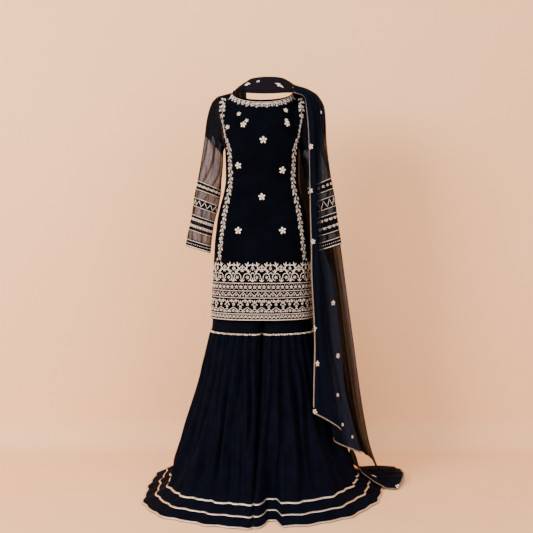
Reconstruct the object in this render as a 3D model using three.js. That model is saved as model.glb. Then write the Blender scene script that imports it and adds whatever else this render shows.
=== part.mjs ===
// Farshi gharara suit: a short kurti with long net sleeves, flared gharara legs that trail on the floor,
// and a net dupatta, hollow and in the form they have when worn. Millimetres, +Z up. The front looks
// along -Y, and the origin is the middle of the shoulder line, where the wearer holds the suit.
// Heights in the tables are above the floor. The wearer's right side is at -X.
import * as THREE from "three";

const shoulderHeight = 1460; // shoulder line above the floor
const velvet = 1.5; // wall of the kurti
const georgette = 1.3; // wall of the gharara
const net = 1.1; // wall of the sleeves and dupatta
const seamGap = 0.6; // between two pieces at a seam
const ribbonWall = 1.2; // gota ribbon on the gharara
const edgingWidth = 6; // edging of the dupatta
const liftGap = 0.6; // between a panel and what is sewn on it

const clothLook = {
  kurtiVelvet: { color: "#070a16", roughness: 0.85 },
  sleeveNet: { color: "#23242e", roughness: 0.8 },
  gharara: { color: "#0a1024", roughness: 0.8 },
  dupattaNet: { color: "#0e1732", roughness: 0.8 },
  gota: { color: "#d8d0c6", roughness: 0.35, metalness: 0.7 },
};

const suit = new THREE.Group();
suit.position.z = -shoulderHeight;

function addPiece(name, geometry, look) {
  const piece = new THREE.Mesh(geometry, new THREE.MeshStandardMaterial(clothLook[look]));
  piece.name = name;
  suit.add(piece);
}

const point = (x, y, h) => new THREE.Vector3(x, y, h);
const mix = (a, b, t) => a + (b - a) * t;
const signedPower = (v, power) => Math.sign(v) * Math.abs(v) ** power;

// Points at even steps along a path, both ends included.
function evenPoints(path, count) {
  const curve = new THREE.CurvePath();
  path.slice(1).forEach((p, i) => curve.add(new THREE.LineCurve3(path[i], p)));
  return Array.from({ length: count + 1 }, (_, i) => curve.getPoint(i / count));
}

// Outward directions of a grid of points, each as long as the wall needs at a fold to keep its thickness.
function outwardOf(grid, ring, outside) {
  const last = grid.length - 1;
  const columns = grid[0].length;
  return grid.map((row, i) =>
    row.map((p, j) => {
      const along = grid[Math.min(i + 1, last)][j].clone().sub(grid[Math.max(i - 1, 0)][j]);
      const faces = [];
      const before = ring || j > 0 ? row[(j - 1 + columns) % columns] : null;
      const after = ring || j < columns - 1 ? row[(j + 1) % columns] : null;
      if (before) faces.push(along.clone().cross(p.clone().sub(before)).normalize());
      if (after) faces.push(along.clone().cross(after.clone().sub(p)).normalize());
      const n = faces.reduce((sum, f) => sum.add(f), new THREE.Vector3()).normalize();
      const stretch = 1 / Math.max(0.6, n.dot(faces[0]));
      return n.multiplyScalar(outside * stretch);
    }),
  );
}

// Turns the directions at a seam into the seam's own plane, so that the walls beside it don't cross.
function squareAtSeams(grid, directions, seams) {
  grid.forEach((row, i) => row.forEach((p, j) => {
    for (const { axis, at } of seams)
      if (Math.abs(p[axis] - at) < seamGap) directions[i][j][axis] = 0;
    const length = directions[i][j].length();
    directions[i][j].setLength(Math.max(1, length));
  }));
  return directions;
}

// Moves each point of a grid along its direction.
const moved = (grid, directions, distance) =>
  grid.map((row, i) => row.map((p, j) => p.clone().addScaledVector(directions[i][j], distance)));

// A closed wall between two grids of points. With ring, the last column joins the first.
function wallBetween(outer, inner, ring) {
  const rows = outer.length;
  const columns = outer[0].length;
  const corners = [...outer.flat(), ...inner.flat()];
  const id = (side, i, j) => (side * rows + i) * columns + (j % columns);
  const spans = ring ? columns : columns - 1;
  const index = [];
  const quad = (a, b, c, d) => index.push(a, b, c, a, c, d);
  for (let i = 0; i < rows - 1; i++)
    for (let j = 0; j < spans; j++) {
      quad(id(0, i, j), id(0, i, j + 1), id(0, i + 1, j + 1), id(0, i + 1, j));
      quad(id(1, i, j), id(1, i + 1, j), id(1, i + 1, j + 1), id(1, i, j + 1));
    }
  for (let j = 0; j < spans; j++) {
    quad(id(0, 0, j), id(1, 0, j), id(1, 0, j + 1), id(0, 0, j + 1));
    quad(id(0, rows - 1, j), id(0, rows - 1, j + 1), id(1, rows - 1, j + 1), id(1, rows - 1, j));
  }
  for (let i = 0; i < rows - 1 && !ring; i++) {
    quad(id(0, i, 0), id(0, i + 1, 0), id(1, i + 1, 0), id(1, i, 0));
    quad(id(0, i, spans), id(1, i, spans), id(1, i + 1, spans), id(0, i + 1, spans));
  }
  let volume = 0;
  for (let k = 0; k < index.length; k += 3) {
    const [a, b, c] = [0, 1, 2].map((n) => corners[index[k + n]]);
    volume += a.dot(b.clone().cross(c));
  }
  if (volume < 0) index.reverse();
  const geometry = new THREE.BufferGeometry().setFromPoints(corners);
  geometry.setIndex(index);
  geometry.computeVertexNormals();
  return geometry;
}

// Kurti and sleeves

// Half width and depth of the body of the kurti, from the armpit down to the hem.
const kurtiSections = [
  { h: 1265, wide: 138, front: 120, back: 94 },
  { h: 1225, wide: 136, front: 112, back: 92 },
  { h: 1180, wide: 135, front: 101, back: 90 },
  { h: 1139, wide: 136, front: 96, back: 92 },
  { h: 1103, wide: 142, front: 97, back: 100 },
  { h: 1052, wide: 155, front: 101, back: 113 },
  { h: 1007, wide: 165, front: 106, back: 122 },
  { h: 966, wide: 170, front: 110, back: 128 },
  { h: 921, wide: 175, front: 114, back: 132 },
  { h: 854, wide: 179, front: 120, back: 135 },
  { h: 772, wide: 184, front: 126, back: 136 },
  { h: 638, wide: 190, front: 134, back: 140 },
];
const ventTop = 860; // the side seams end here
const ventOpening = 6; // half the gap of a vent at the hem
const armpitSection = kurtiSections[0];
const hemSection = kurtiSections.at(-1);
const neck = { wide: 112, h: 1476, frontDrop: 44, backDrop: 16, frontDeep: 76, backDeep: 62 };
const shoulderTip = { x: 165, h: 1462 };
const armhole = { deep: 50, bottomX: 138 };
const neckShare = 0.68; // of a panel's half width at the shoulder line
const chestFullness = 13;
const yokeSteps = 6;
const kurtiColumns = 14;

// A point of the kurti's body: side -1 is the front and 1 the back, u runs from -1 to 1 across it.
function bodyPoint(side, u, section) {
  const turn = (u * Math.PI) / 2;
  const deep = side < 0 ? section.front : section.back;
  const open = section.h < ventTop ? (ventOpening * (ventTop - section.h)) / (ventTop - hemSection.h) : 0;
  return point(
    section.wide * signedPower(Math.sin(turn), 0.92),
    side * (seamGap / 2 + open + deep * Math.cos(turn) ** 0.75),
    section.h,
  );
}

function armholePoint(side, end, v) {
  const turn = Math.PI * v;
  return point(
    end * mix(armhole.bottomX, shoulderTip.x, (1 - Math.cos(turn)) / 2),
    side * (seamGap / 2 + armhole.deep * Math.sin(turn)),
    mix(armpitSection.h, shoulderTip.h, (1 - Math.cos(turn)) / 2),
  );
}

// The neckline and the two shoulder seams.
function topPoint(side, u) {
  const reach = Math.abs(u);
  if (reach >= neckShare) {
    const t = (reach - neckShare) / (1 - neckShare);
    const x = mix(neck.wide, shoulderTip.x, t);
    return point(Math.sign(u) * x, (side * seamGap) / 2, mix(neck.h, shoulderTip.h, t));
  }
  const turn = ((u / neckShare) * Math.PI) / 2;
  const [drop, deep] = side < 0 ? [neck.frontDrop, neck.frontDeep] : [neck.backDrop, neck.backDeep];
  return point(
    neck.wide * Math.sin(turn),
    side * (seamGap / 2 + deep * Math.cos(turn)),
    neck.h - drop * Math.cos(turn),
  );
}

function yokePoint(side, u, v) {
  const low = bodyPoint(side, u, armpitSection);
  const end = Math.sign(u) || 1;
  const straight = bodyPoint(side, end, armpitSection).lerp(topPoint(side, end), v);
  const pull = armholePoint(side, end, v).sub(straight);
  const p = low.lerp(topPoint(side, u), v).addScaledVector(pull, Math.abs(u) ** 3);
  p.y += side * chestFullness * Math.sin(Math.PI * v) * (1 - u ** 4);
  return p;
}

function kurtiPanel(side) {
  const across = Array.from({ length: kurtiColumns + 1 }, (_, j) => (2 * j) / kurtiColumns - 1);
  const yoke = Array.from({ length: yokeSteps }, (_, i) =>
    across.map((u) => yokePoint(side, u, 1 - i / yokeSteps)),
  );
  const body = kurtiSections.map((section) => across.map((u) => bodyPoint(side, u, section)));
  const outer = [...yoke, ...body];
  const outward = squareAtSeams(outer, outwardOf(outer, false, side), [{ axis: "y", at: 0 }]);
  return wallBetween(outer, moved(outer, outward, -velvet), false);
}

addPiece("kurti_front", kurtiPanel(-1), "kurtiVelvet");
addPiece("kurti_back", kurtiPanel(1), "kurtiVelvet");

// Rings of the sleeves: the outer and inner points of each ring, seen from the front, its middle's depth
// and half its depth from front to back. The left arm hangs further from the body.
const rightSleeve = [
  { outX: 166.5, outH: 1462, inX: 139.5, inH: 1265, y: 0, deep: 50 },
  { outX: 189, outH: 1434, inX: 143, inH: 1254, y: -1, deep: 50 },
  { outX: 205, outH: 1376, inX: 144, inH: 1234, y: -3, deep: 49 },
  { outX: 215, outH: 1300, inX: 145, inH: 1200, y: -6, deep: 47 },
  { outX: 230, outH: 1204, inX: 147, inH: 1148, y: -10, deep: 44 },
  { outX: 240, outH: 1142, inX: 151, inH: 1106, y: -13, deep: 42 },
  { outX: 253, outH: 1083, inX: 163, inH: 1050, y: -16, deep: 40 },
  { outX: 263, outH: 1015, inX: 177, inH: 985, y: -20, deep: 38 },
  { outX: 284, outH: 905, inX: 190, inH: 877, y: -26, deep: 36 },
];
const leftSleeve = [
  { outX: 166.5, outH: 1462, inX: 139.5, inH: 1265, y: 0, deep: 50 },
  { outX: 192, outH: 1434, inX: 143, inH: 1254, y: -1, deep: 50 },
  { outX: 212, outH: 1376, inX: 145, inH: 1234, y: -3, deep: 49 },
  { outX: 227, outH: 1300, inX: 151, inH: 1200, y: -6, deep: 47 },
  { outX: 248, outH: 1208, inX: 161, inH: 1150, y: -8, deep: 42 },
  { outX: 260, outH: 1150, inX: 171, inH: 1112, y: -9, deep: 40 },
  { outX: 272, outH: 1083, inX: 181, inH: 1050, y: -11, deep: 38 },
  { outX: 282, outH: 1015, inX: 190, inH: 985, y: -14, deep: 37 },
  { outX: 298, outH: 912, inX: 204, inH: 882, y: -18, deep: 36 },
];
const sleeveSides = 16;
const capInset = 2.4; // of the inner cap from the sleeve's outer face
const capRings = 3;
const capHem = { outX: 212, outH: 1314, inX: 146, inH: 1244, y: -5, deep: 47 };

function sleeveRing(row, side, inset) {
  const middle = point((row.outX + row.inX) / 2, row.y, (row.outH + row.inH) / 2);
  const half = point((row.outX - row.inX) / 2, 0, (row.outH - row.inH) / 2);
  const shorter = 1 - inset / half.length();
  return Array.from({ length: sleeveSides }, (_, j) => {
    const turn = (2 * Math.PI * j) / sleeveSides;
    const p = middle.clone().addScaledVector(half, Math.cos(turn) * shorter);
    p.y += (row.deep - inset) * Math.sin(turn);
    return p.setX(side * p.x);
  });
}

// The wall goes straight towards the middle of each ring, so that it stays clear of the armhole's edge.
function sleeveTube(rows, side, inset) {
  const ringAt = (depth) => rows.map((row) => sleeveRing(row, side, inset + depth));
  return wallBetween(ringAt(0), ringAt(net), true);
}

for (const [name, side, rows] of [["right", -1, rightSleeve], ["left", 1, leftSleeve]]) {
  addPiece(`sleeve_${name}`, sleeveTube(rows, side, 0), "sleeveNet");
  const capRows = [...rows.slice(0, capRings), capHem];
  addPiece(`sleeve_cap_${name}`, sleeveTube(capRows, side, capInset), "sleeveNet");
}

// Gharara: each leg is a tube with a flat inner side, gathered from the knee seam down

const thighSections = [
  { h: 1088, wide: 139.5, front: 82, back: 86, gap: 0.3, round: 0, inner: 1 },
  { h: 1015, wide: 149, front: 94, back: 108, gap: 0.3, round: 0, inner: 1 },
  { h: 940, wide: 163, front: 101, back: 120, gap: 0.3, round: 0, inner: 1 },
  { h: 862, wide: 169, front: 106, back: 124, gap: 3, round: 12, inner: 0 },
  { h: 740, wide: 174, front: 113, back: 126, gap: 4, round: 24, inner: 0 },
  { h: 592, wide: 187, front: 122, back: 128, gap: 5, round: 32, inner: 0 },
];
const flareSections = [
  { h: 591.4, wide: 188, front: 123, back: 129, gap: 2.5, round: 32, fold: 3.5, drift: 0 },
  { h: 584, wide: 190, front: 125, back: 131, gap: 2.5, round: 32, fold: 4, drift: 0 },
  { h: 490, wide: 208, front: 152, back: 160, gap: 3, round: 36, fold: 7, drift: -3 },
  { h: 367, wide: 234, front: 193, back: 203, gap: 3.5, round: 40, fold: 11, drift: -8 },
  { h: 225, wide: 276, front: 248, back: 260, gap: 4, round: 44, fold: 14, drift: -16 },
  { h: 110, wide: 322, front: 300, back: 314, gap: 4, round: 46, fold: 14, drift: -23 },
  { h: 53, wide: 345, front: 330, back: 342, gap: 4, round: 46, fold: 10, drift: -26 },
  { h: 47, wide: 351, front: 337, back: 349, gap: 4, round: 46, fold: 9.5, drift: -26 },
  { h: 27, wide: 384, front: 371, back: 379, gap: 4, round: 46, fold: 8, drift: -27 },
  { h: 23, wide: 391, front: 378, back: 386, gap: 4, round: 46, fold: 8, drift: -27 },
  { h: 6, wide: 431, front: 413, back: 419, gap: 4, round: 46, fold: 8, drift: -28 },
  { h: 2.5, wide: 438, front: 419, back: 425, gap: 4, round: 46, fold: 8, drift: -28 },
];
const gathers = 26; // of each leg, all round
const legPoints = 2 * gathers;
const innerSideFold = 0.12; // the folds of the inner side, as a share of the others
const minorGather = 0.7; // how much every other gather fades on its way down
const hemSwing = [
  { waves: 3, reach: 9, turn: 0.7 },
  { waves: 5, reach: 7, turn: 2.1 },
];
const swingFrom = 225; // the hem's wide waves start below this height
const innerDip = { deep: 46, at: 10, wide: 70 }; // the left leg's hem steps back beside the other leg
const thighColumns = 7;
const pathSteps = 40; // points of a quarter of an outline before it is stepped evenly

// The front quarter of a leg's outline, from its outer side to its rounded inner corner. Face 1 is the back.
function quarterOutline(row, side, face) {
  const deep = face < 0 ? row.front : row.back;
  const inner = side * row.gap + (row.drift ?? 0);
  return Array.from({ length: pathSteps + 1 }, (_, i) => {
    const turn = ((i / pathSteps) * Math.PI) / 2;
    const x = mix(inner, side * row.wide, Math.cos(turn));
    const corner = Math.max(0, row.round - Math.abs(x - inner));
    const set = row.round - Math.sqrt(row.round ** 2 - corner ** 2);
    return point(x, face * (deep * Math.sin(turn) ** 0.9 - set), row.h);
  });
}

// A thigh panel runs from the side seam to the centre seam, or below the fork to the inner leg seam.
function thighPanel(side, face) {
  const outer = thighSections.map((row) => {
    const path = quarterOutline(row, side, face);
    const corner = path.at(-1);
    path[0].y = (face * seamGap) / 2;
    if (row.inner === 0) path.push(point(corner.x, (face * seamGap) / 2, row.h));
    return evenPoints(path, thighColumns);
  });
  const outward = outwardOf(outer, false, side * face);
  outward.forEach((row, i) => {
    row[0].set(side, 0, 0);
    row[thighColumns].set(thighSections[i].inner ? 0 : -side, thighSections[i].inner ? face : 0, 0);
  });
  return wallBetween(outer, moved(outer, outward, -georgette), false);
}

// How far the gathers and the hem's waves move a point of a leg's outline, from its place in the ring.
function foldReach(row, side, j, base) {
  const depth = side * (base.x - (row.drift ?? 0)) - row.gap;
  const flat = THREE.MathUtils.smoothstep(depth, 2, 30);
  const share = mix(innerSideFold, 1, flat);
  const fade = 1 - minorGather * THREE.MathUtils.smoothstep(-row.h, -490, -110);
  const height = j % 2 ? -1 : j % 4 ? mix(-1, 1, fade) : 1;
  const low = THREE.MathUtils.clamp((swingFrom - row.h) / swingFrom, 0, 1) * flat;
  const around = (2 * Math.PI * j) / legPoints;
  const swing = hemSwing.reduce((sum, w) => sum + w.reach * Math.sin(w.waves * around + side * w.turn), 0);
  const front = base.y < 0 && side > 0 ? 1 : 0;
  const dip = front * innerDip.deep * Math.exp(-(((base.x - innerDip.at) / innerDip.wide) ** 2));
  return row.fold * share * height + low * (swing - dip);
}

// One ring of a leg's flare: even points round the outline, moved out and in by the folds.
function flareRing(row, side) {
  const front = quarterOutline(row, side, -1);
  const back = quarterOutline(row, side, 1).reverse();
  const base = evenPoints([...front, ...back], legPoints).slice(0, -1);
  return base.map((p, j) => {
    const ahead = base[(j + 1) % legPoints];
    const behind = base[(j - 1 + legPoints) % legPoints];
    const across = point(ahead.y - behind.y, behind.x - ahead.x, 0).normalize();
    const reach = foldReach(row, side, j, p);
    return p.clone().addScaledVector(across, -side * reach);
  });
}

function flareParts(side) {
  const outer = flareSections.map((row) => flareRing(row, side));
  return { outer, outward: outwardOf(outer, true, side * -1) };
}

// The front panel has the first half of the ring's points, the back one the others.
function flarePanel({ outer, outward }, start) {
  const pick = (grid) => grid.map((row) =>
    Array.from({ length: gathers + 1 }, (_, j) => row[(start + j) % legPoints].clone()));
  const [face, directions] = [pick(outer), pick(outward)];
  face.forEach((row) => {
    const steps = [[0, 1], [gathers, gathers - 1]];
    const shifts = steps.map(([j, next]) => row[next].clone().sub(row[j]).setLength(seamGap / 2));
    steps.forEach(([j], k) => row[j].add(shifts[k]));
  });
  return wallBetween(face, moved(face, directions, -georgette), false);
}

// A ribbon between two of the flare's rows, moved out of its wall.
function ribbonRing({ outer, outward }, first) {
  const rows = [outer[first], outer[first + 1]];
  const directions = [outward[first], outward[first + 1]];
  return wallBetween(moved(rows, directions, liftGap + ribbonWall), moved(rows, directions, liftGap), true);
}

const ribbonRows = { knee: 0, upper: 6, middle: 8, hem: 10 };
for (const [name, side] of [["right", -1], ["left", 1]]) {
  for (const [face, faceName] of [[-1, "front"], [1, "back"]])
    addPiece(`thigh_${name}_${faceName}`, thighPanel(side, face), "gharara");
  const flare = flareParts(side);
  addPiece(`flare_${name}_front`, flarePanel(flare, 0), "gharara");
  addPiece(`flare_${name}_back`, flarePanel(flare, gathers), "gharara");
  for (const [ribbon, first] of Object.entries(ribbonRows))
    addPiece(`ribbon_${ribbon}_${name}`, ribbonRing(flare, first), "gota");
}

const waistband = { top: 1118, wide: 138.9, front: 83, back: 86, sides: 24, wall: 3 };

function waistbandRing(h, inset) {
  return Array.from({ length: waistband.sides }, (_, j) => {
    const turn = (2 * Math.PI * j) / waistband.sides;
    const deep = Math.sin(turn) < 0 ? waistband.front : waistband.back;
    return point(
      (waistband.wide - inset) * Math.cos(turn),
      (deep - inset) * signedPower(Math.sin(turn), 0.9),
      h,
    );
  });
}

const bandHeights = [waistband.top, thighSections[0].h + seamGap];
const bandRings = (inset) => bandHeights.map((h) => waistbandRing(h, inset));
addPiece("waistband", wallBetween(bandRings(0), bandRings(waistband.wall), true), "gharara");

// Dupatta. Each row of a stretch is a section across the cloth, given by four points [x, y, height].

// From the trimmed front edge a, over the crest b and back to c behind it, to the far edge d.
const frontFall = [
  { a: [118, -64, 1466], b: [118, -50, 1484], c: [118, -30, 1498], d: [118, -0.3, 1508] },
  { a: [154, -70, 1450], b: [163, -58, 1467], c: [171, -38, 1479], d: [181, -0.3, 1485] },
  { a: [161, -82, 1408], b: [181, -80, 1424], c: [188, -60, 1438], d: [214, -0.3, 1460] },
  { a: [167, -90, 1338], b: [192, -92, 1356], c: [194, -72, 1370], d: [236, -0.3, 1408] },
  { a: [170, -95, 1254], b: [194, -97, 1262], c: [190, -78, 1274], d: [223, -60, 1304] },
  { a: [172, -98, 1150], b: [197, -98, 1150], c: [188, -80, 1155], d: [216, -70, 1165] },
  { a: [174, -100, 1020], b: [199, -99, 1020], c: [188, -84, 1020], d: [217, -72, 1020] },
  { a: [177, -108, 900], b: [202, -105, 900], c: [189, -90, 900], d: [224, -76, 900] },
  { a: [178, -120, 790], b: [207, -114, 790], c: [192, -98, 790], d: [264, -48, 790] },
  { a: [187, -140, 583], b: [215, -132, 575], c: [200, -114, 568], d: [292, -30, 560] },
  { a: [183, -165, 433], b: [245, -155, 400], c: [226, -138, 385], d: [309, -35, 370] },
  { a: [180, -190, 324], b: [276, -172, 262], c: [253, -155, 218], d: [363, -60, 144] },
];
// From the outer fold a, behind the left arm, to the rear edge d.
const backFall = [
  { a: [118, 0.3, 1508], b: [118, 24, 1503], c: [118, 44, 1491], d: [118, 62, 1474] },
  { a: [181, 0.3, 1485], b: [178, 34, 1479], c: [169, 58, 1464], d: [156, 78, 1446] },
  { a: [214, 0.3, 1460], b: [208, 42, 1446], c: [190, 72, 1424], d: [146, 96, 1400] },
  { a: [236, 0.3, 1408], b: [232, 50, 1386], c: [206, 82, 1356], d: [134, 108, 1330] },
  { a: [247, 54, 1290], b: [228, 78, 1270], c: [202, 90, 1252], d: [130, 112, 1236] },
  { a: [264, 52, 1150], b: [238, 82, 1144], c: [206, 90, 1136], d: [131, 115, 1130] },
  { a: [283, 48, 1020], b: [252, 84, 1014], c: [216, 94, 1006], d: [143, 126, 1000] },
  { a: [299, 44, 900], b: [264, 86, 894], c: [226, 104, 886], d: [160, 142, 880] },
  { a: [312, 40, 800], b: [278, 90, 788], c: [236, 112, 780], d: [192, 146, 776] },
  { a: [325, 36, 700], b: [290, 98, 684], c: [244, 124, 672], d: [196, 160, 660] },
  { a: [347, 32, 535], b: [308, 116, 535], c: [258, 150, 535], d: [205, 186, 535] },
  { a: [366, 30, 390], b: [330, 142, 390], c: [278, 190, 390], d: [222, 220, 390] },
  { a: [384, 30, 271], b: [352, 170, 271], c: [304, 224, 271], d: [245, 258, 271] },
  { a: [406, 32, 160], b: [380, 190, 160], c: [334, 250, 160], d: [285, 288, 160] },
  { a: [428, 34, 92], b: [406, 200, 92], c: [368, 262, 92], d: [325, 302, 92] },
  { a: [444, 32, 54], b: [424, 200, 58], c: [390, 262, 62], d: [348, 304, 66] },
];
// From the lower edge a to the upper edge d, in front of the neck, from the right shoulder to the left.
const neckStretch = [
  { a: [-108, -0.3, 1483], b: [-92, -0.3, 1490], c: [-77, -0.3, 1498], d: [-62, -0.3, 1506] },
  { a: [-100, -45, 1474], b: [-88, -47, 1488], c: [-74, -40, 1501], d: [-58, -28, 1513] },
  { a: [-62, -80, 1463], b: [-56, -80, 1484], c: [-46, -68, 1504], d: [-34, -50, 1522] },
  { a: [14, -93, 1458], b: [15, -90, 1482], c: [17, -78, 1505], d: [20, -60, 1526] },
  { a: [80, -84, 1462], b: [80, -80, 1483], c: [79, -66, 1504], d: [78, -46, 1523] },
  { a: [117.4, -64, 1466], b: [117.4, -50, 1484], c: [117.4, -30, 1498], d: [117.4, -0.3, 1508] },
];
// From the outer edge a to the inner edge d, down the back of the right shoulder.
const backEnd = [
  { a: [-108, 0.3, 1483], b: [-92, 0.3, 1490], c: [-77, 0.3, 1498], d: [-62, 0.3, 1506] },
  { a: [-114, 38, 1474], b: [-98, 44, 1482], c: [-80, 46, 1488], d: [-60, 44, 1492] },
  { a: [-118, 59.5, 1440], b: [-100, 69.5, 1444], c: [-80, 75.5, 1446], d: [-58, 77.5, 1446] },
  { a: [-122, 69.5, 1370], b: [-102, 81.5, 1368], c: [-80, 91.5, 1366], d: [-56, 99.5, 1364] },
  { a: [-126, 69.5, 1250], b: [-102, 83.5, 1250], c: [-80, 92.5, 1250], d: [-52, 101.5, 1250] },
  { a: [-130, 73.5, 1120], b: [-104, 85.5, 1120], c: [-78, 94.5, 1120], d: [-46, 103.5, 1120] },
  { a: [-134, 95.5, 1010], b: [-106, 111.5, 1010], c: [-76, 121.5, 1010], d: [-40, 129.5, 1010] },
];
// The tail on the floor: where each row's front and rear ends lie, and how far its middle is pushed out.
const tailRows = [
  { frontX: 338, frontY: -22, rearX: 338, rearY: 222, bulge: 0 },
  { frontX: 360, frontY: -4, rearX: 372, rearY: 232, bulge: 2 },
  { frontX: 384, frontY: 2, rearX: 410, rearY: 238, bulge: 5 },
  { frontX: 421, frontY: -15, rearX: 450, rearY: 240, bulge: 10 },
  { frontX: 462, frontY: -28, rearX: 490, rearY: 236, bulge: 18 },
  { frontX: 503, frontY: -34, rearX: 530, rearY: 222, bulge: 32 },
];
const tailColumns = 9;
const tail = { clear: 0.4, floor: 3, puff: 22, wave: 5 }; // clear of the hem, off the floor, arch, folds
const spanSteps = 3; // columns between two of a section's points
const pleat = 4; // the small folds between them
const edgingWall = 1;
const edgingStop = 0.03; // share of a row left free where two edgings meet

// A section's smooth line, with small pleats between its points.
function sectionPoints({ a, b, c, d }) {
  const curve = new THREE.CatmullRomCurve3([a, b, c, d].map((p) => point(...p)));
  const steps = 3 * spanSteps;
  return Array.from({ length: steps + 1 }, (_, j) => {
    const p = curve.getPoint(j / steps);
    const across = curve.getTangent(j / steps);
    const ridge = [0, 1, -1][j % spanSteps] * pleat;
    return p.add(point(-across.y, across.x, 0).setLength(ridge || 1).multiplyScalar(ridge ? 1 : 0));
  });
}

// The same sections at more even steps along the cloth.
function smoothRows(table, steps) {
  const curves = ["a", "b", "c", "d"].map((key) => {
    const points = table.map((row) => point(...row[key]));
    return [key, new THREE.CatmullRomCurve3(points)];
  });
  return Array.from({ length: steps + 1 }, (_, i) =>
    Object.fromEntries(curves.map(([key, curve]) => [key, curve.getPoint(i / steps).toArray()])),
  );
}

// Where the top of the left leg's hem is below a point, to lay the tail on it.
function hemHeight(x, y) {
  const shares = flareSections.map((row) => {
    const swing = row.h < swingFrom ? hemSwing.reduce((sum, w) => sum + w.reach, 0) : 0;
    const reach = row.fold + swing;
    return Math.hypot(x / (row.wide + reach), y / ((y < 0 ? row.front : row.back) + reach));
  });
  const i = shares.findIndex((share) => share <= 1);
  if (i < 1) return 0;
  const t = (1 - shares[i]) / (shares[i - 1] - shares[i]);
  return mix(flareSections[i].h, flareSections[i - 1].h, t);
}

function tailGrid() {
  return tailRows.map((row, i) =>
    Array.from({ length: tailColumns + 1 }, (_, j) => {
      const t = j / tailColumns;
      const arch = Math.sin(Math.PI * t);
      const x = mix(row.frontX, row.rearX, t) + row.bulge * arch;
      const y = mix(row.frontY, row.rearY, t);
      const puff = (tail.puff * arch * i) / tailRows.length + (j % 2 ? tail.wave : 0);
      return point(x, y, Math.max(hemHeight(x, y) + tail.clear, tail.floor + puff));
    }),
  );
}

// The stretches meet along the top of the shoulders and at the left side of the neck.
const dupattaSeams = [{ axis: "y", at: 0 }, { axis: "x", at: 117.7 }];

function dupattaStretch(name, grid, outside) {
  const outward = squareAtSeams(grid, outwardOf(grid, false, outside), dupattaSeams);
  addPiece(name, wallBetween(grid, moved(grid, outward, -net), false), "dupattaNet");
  return { grid, outward };
}

const towards = (from, to, distance) => from.clone().add(to.clone().sub(from).setLength(distance));

// Adds a column beside the first and a row above the last, an edging's width inside them.
function withEdges(grid) {
  const rows = grid.map((row) => [row[0], towards(row[0], row[1], edgingWidth), ...row.slice(1)]);
  const [before, end] = rows.slice(-2);
  return [...rows.slice(0, -1), end.map((p, j) => towards(p, before[j], edgingWidth)), end];
}

// A strip sewn on a stretch, over the part of its grid that pick takes.
function edging(name, { grid, outward }, pick) {
  const [rows, directions] = [pick(grid), pick(outward)];
  const outer = moved(rows, directions, liftGap + edgingWall);
  addPiece(name, wallBetween(outer, moved(rows, directions, liftGap), false), "gota");
}

// The strip down the first two columns stops just short of the strip along the last two rows.
function firstColumns(grid) {
  const rows = grid.slice(0, -1).map((row) => row.slice(0, 2));
  const [before, end] = rows.slice(-2);
  return [...rows.slice(0, -1), end.map((p, j) => p.clone().lerp(before[j], edgingStop))];
}
const lastRows = (grid) => grid.slice(-2);

dupattaStretch("dupatta_neck", smoothRows(neckStretch, 12).map(sectionPoints), 1);
dupattaStretch("dupatta_back_end", smoothRows(backEnd, 8).map(sectionPoints), -1);
dupattaStretch("dupatta_back_fall", backFall.map(sectionPoints), 1);
const front = dupattaStretch("dupatta_front_fall", withEdges(frontFall.map(sectionPoints)), 1);
const tailStretch = dupattaStretch("dupatta_tail", withEdges(tailGrid()), 1);
edging("edging_front", front, firstColumns);
edging("edging_cut_end", front, lastRows);
edging("edging_tail_front", tailStretch, firstColumns);
edging("edging_tail_end", tailStretch, lastRows);

export default suit;
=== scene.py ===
# A farshi gharara suit in its worn form: velvet kurti with silver embroidery, net sleeves, gathered
# georgette legs with gota ribbons, and a net dupatta over the left shoulder. Lengths in the tables are
# millimetres and heights are above the floor. The front looks along -Y.
import math

import bpy
import numpy as np
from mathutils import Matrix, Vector


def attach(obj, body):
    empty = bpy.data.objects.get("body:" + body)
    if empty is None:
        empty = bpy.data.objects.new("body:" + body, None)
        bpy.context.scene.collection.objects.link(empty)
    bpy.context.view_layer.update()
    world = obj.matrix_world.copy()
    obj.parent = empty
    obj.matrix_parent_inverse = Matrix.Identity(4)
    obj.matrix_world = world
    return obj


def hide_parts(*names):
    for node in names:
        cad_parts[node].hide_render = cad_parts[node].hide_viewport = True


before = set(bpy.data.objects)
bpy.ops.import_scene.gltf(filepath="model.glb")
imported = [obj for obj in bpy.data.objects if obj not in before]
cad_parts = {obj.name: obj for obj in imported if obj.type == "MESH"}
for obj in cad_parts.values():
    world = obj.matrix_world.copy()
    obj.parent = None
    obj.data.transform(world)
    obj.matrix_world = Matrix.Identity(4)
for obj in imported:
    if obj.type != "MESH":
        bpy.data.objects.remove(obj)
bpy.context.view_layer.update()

shoulderHeight = 1460


# Millimetres above the floor to metres in the frame of the part.
def toFrame(points):
    moved = np.asarray(points, float).reshape(-1, 3) / 1000
    moved[:, 2] -= shoulderHeight / 1000
    return moved


# Colours and materials


def linearColour(code):
    values = [int(code[i : i + 2], 16) / 255 for i in (1, 3, 5)]
    return [v / 12.92 if v <= 0.04045 else ((v + 0.055) / 1.055) ** 2.4 for v in values] + [1.0]


# Adds a node, sets its properties or sockets, and links its inputs.
def addNode(tree, kind, settings=None, **links):
    node = tree.nodes.new(kind)
    for name, value in (settings or {}).items():
        if isinstance(name, str) and hasattr(node, name):
            setattr(node, name, value)
        else:
            node.inputs[name].default_value = value
    for name, source in links.items():
        tree.links.new(source, node.inputs[name.replace("_", " ")])
    return node


# A material with one Principled shader, and its node tree for the textures.
def newMaterial(name, settings):
    material = bpy.data.materials.new(name)
    material.use_nodes = True
    tree = material.node_tree
    shader = tree.nodes["Principled BSDF"]
    for socket, value in settings.items():
        shader.inputs[socket].default_value = value
    return material, tree, shader


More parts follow.
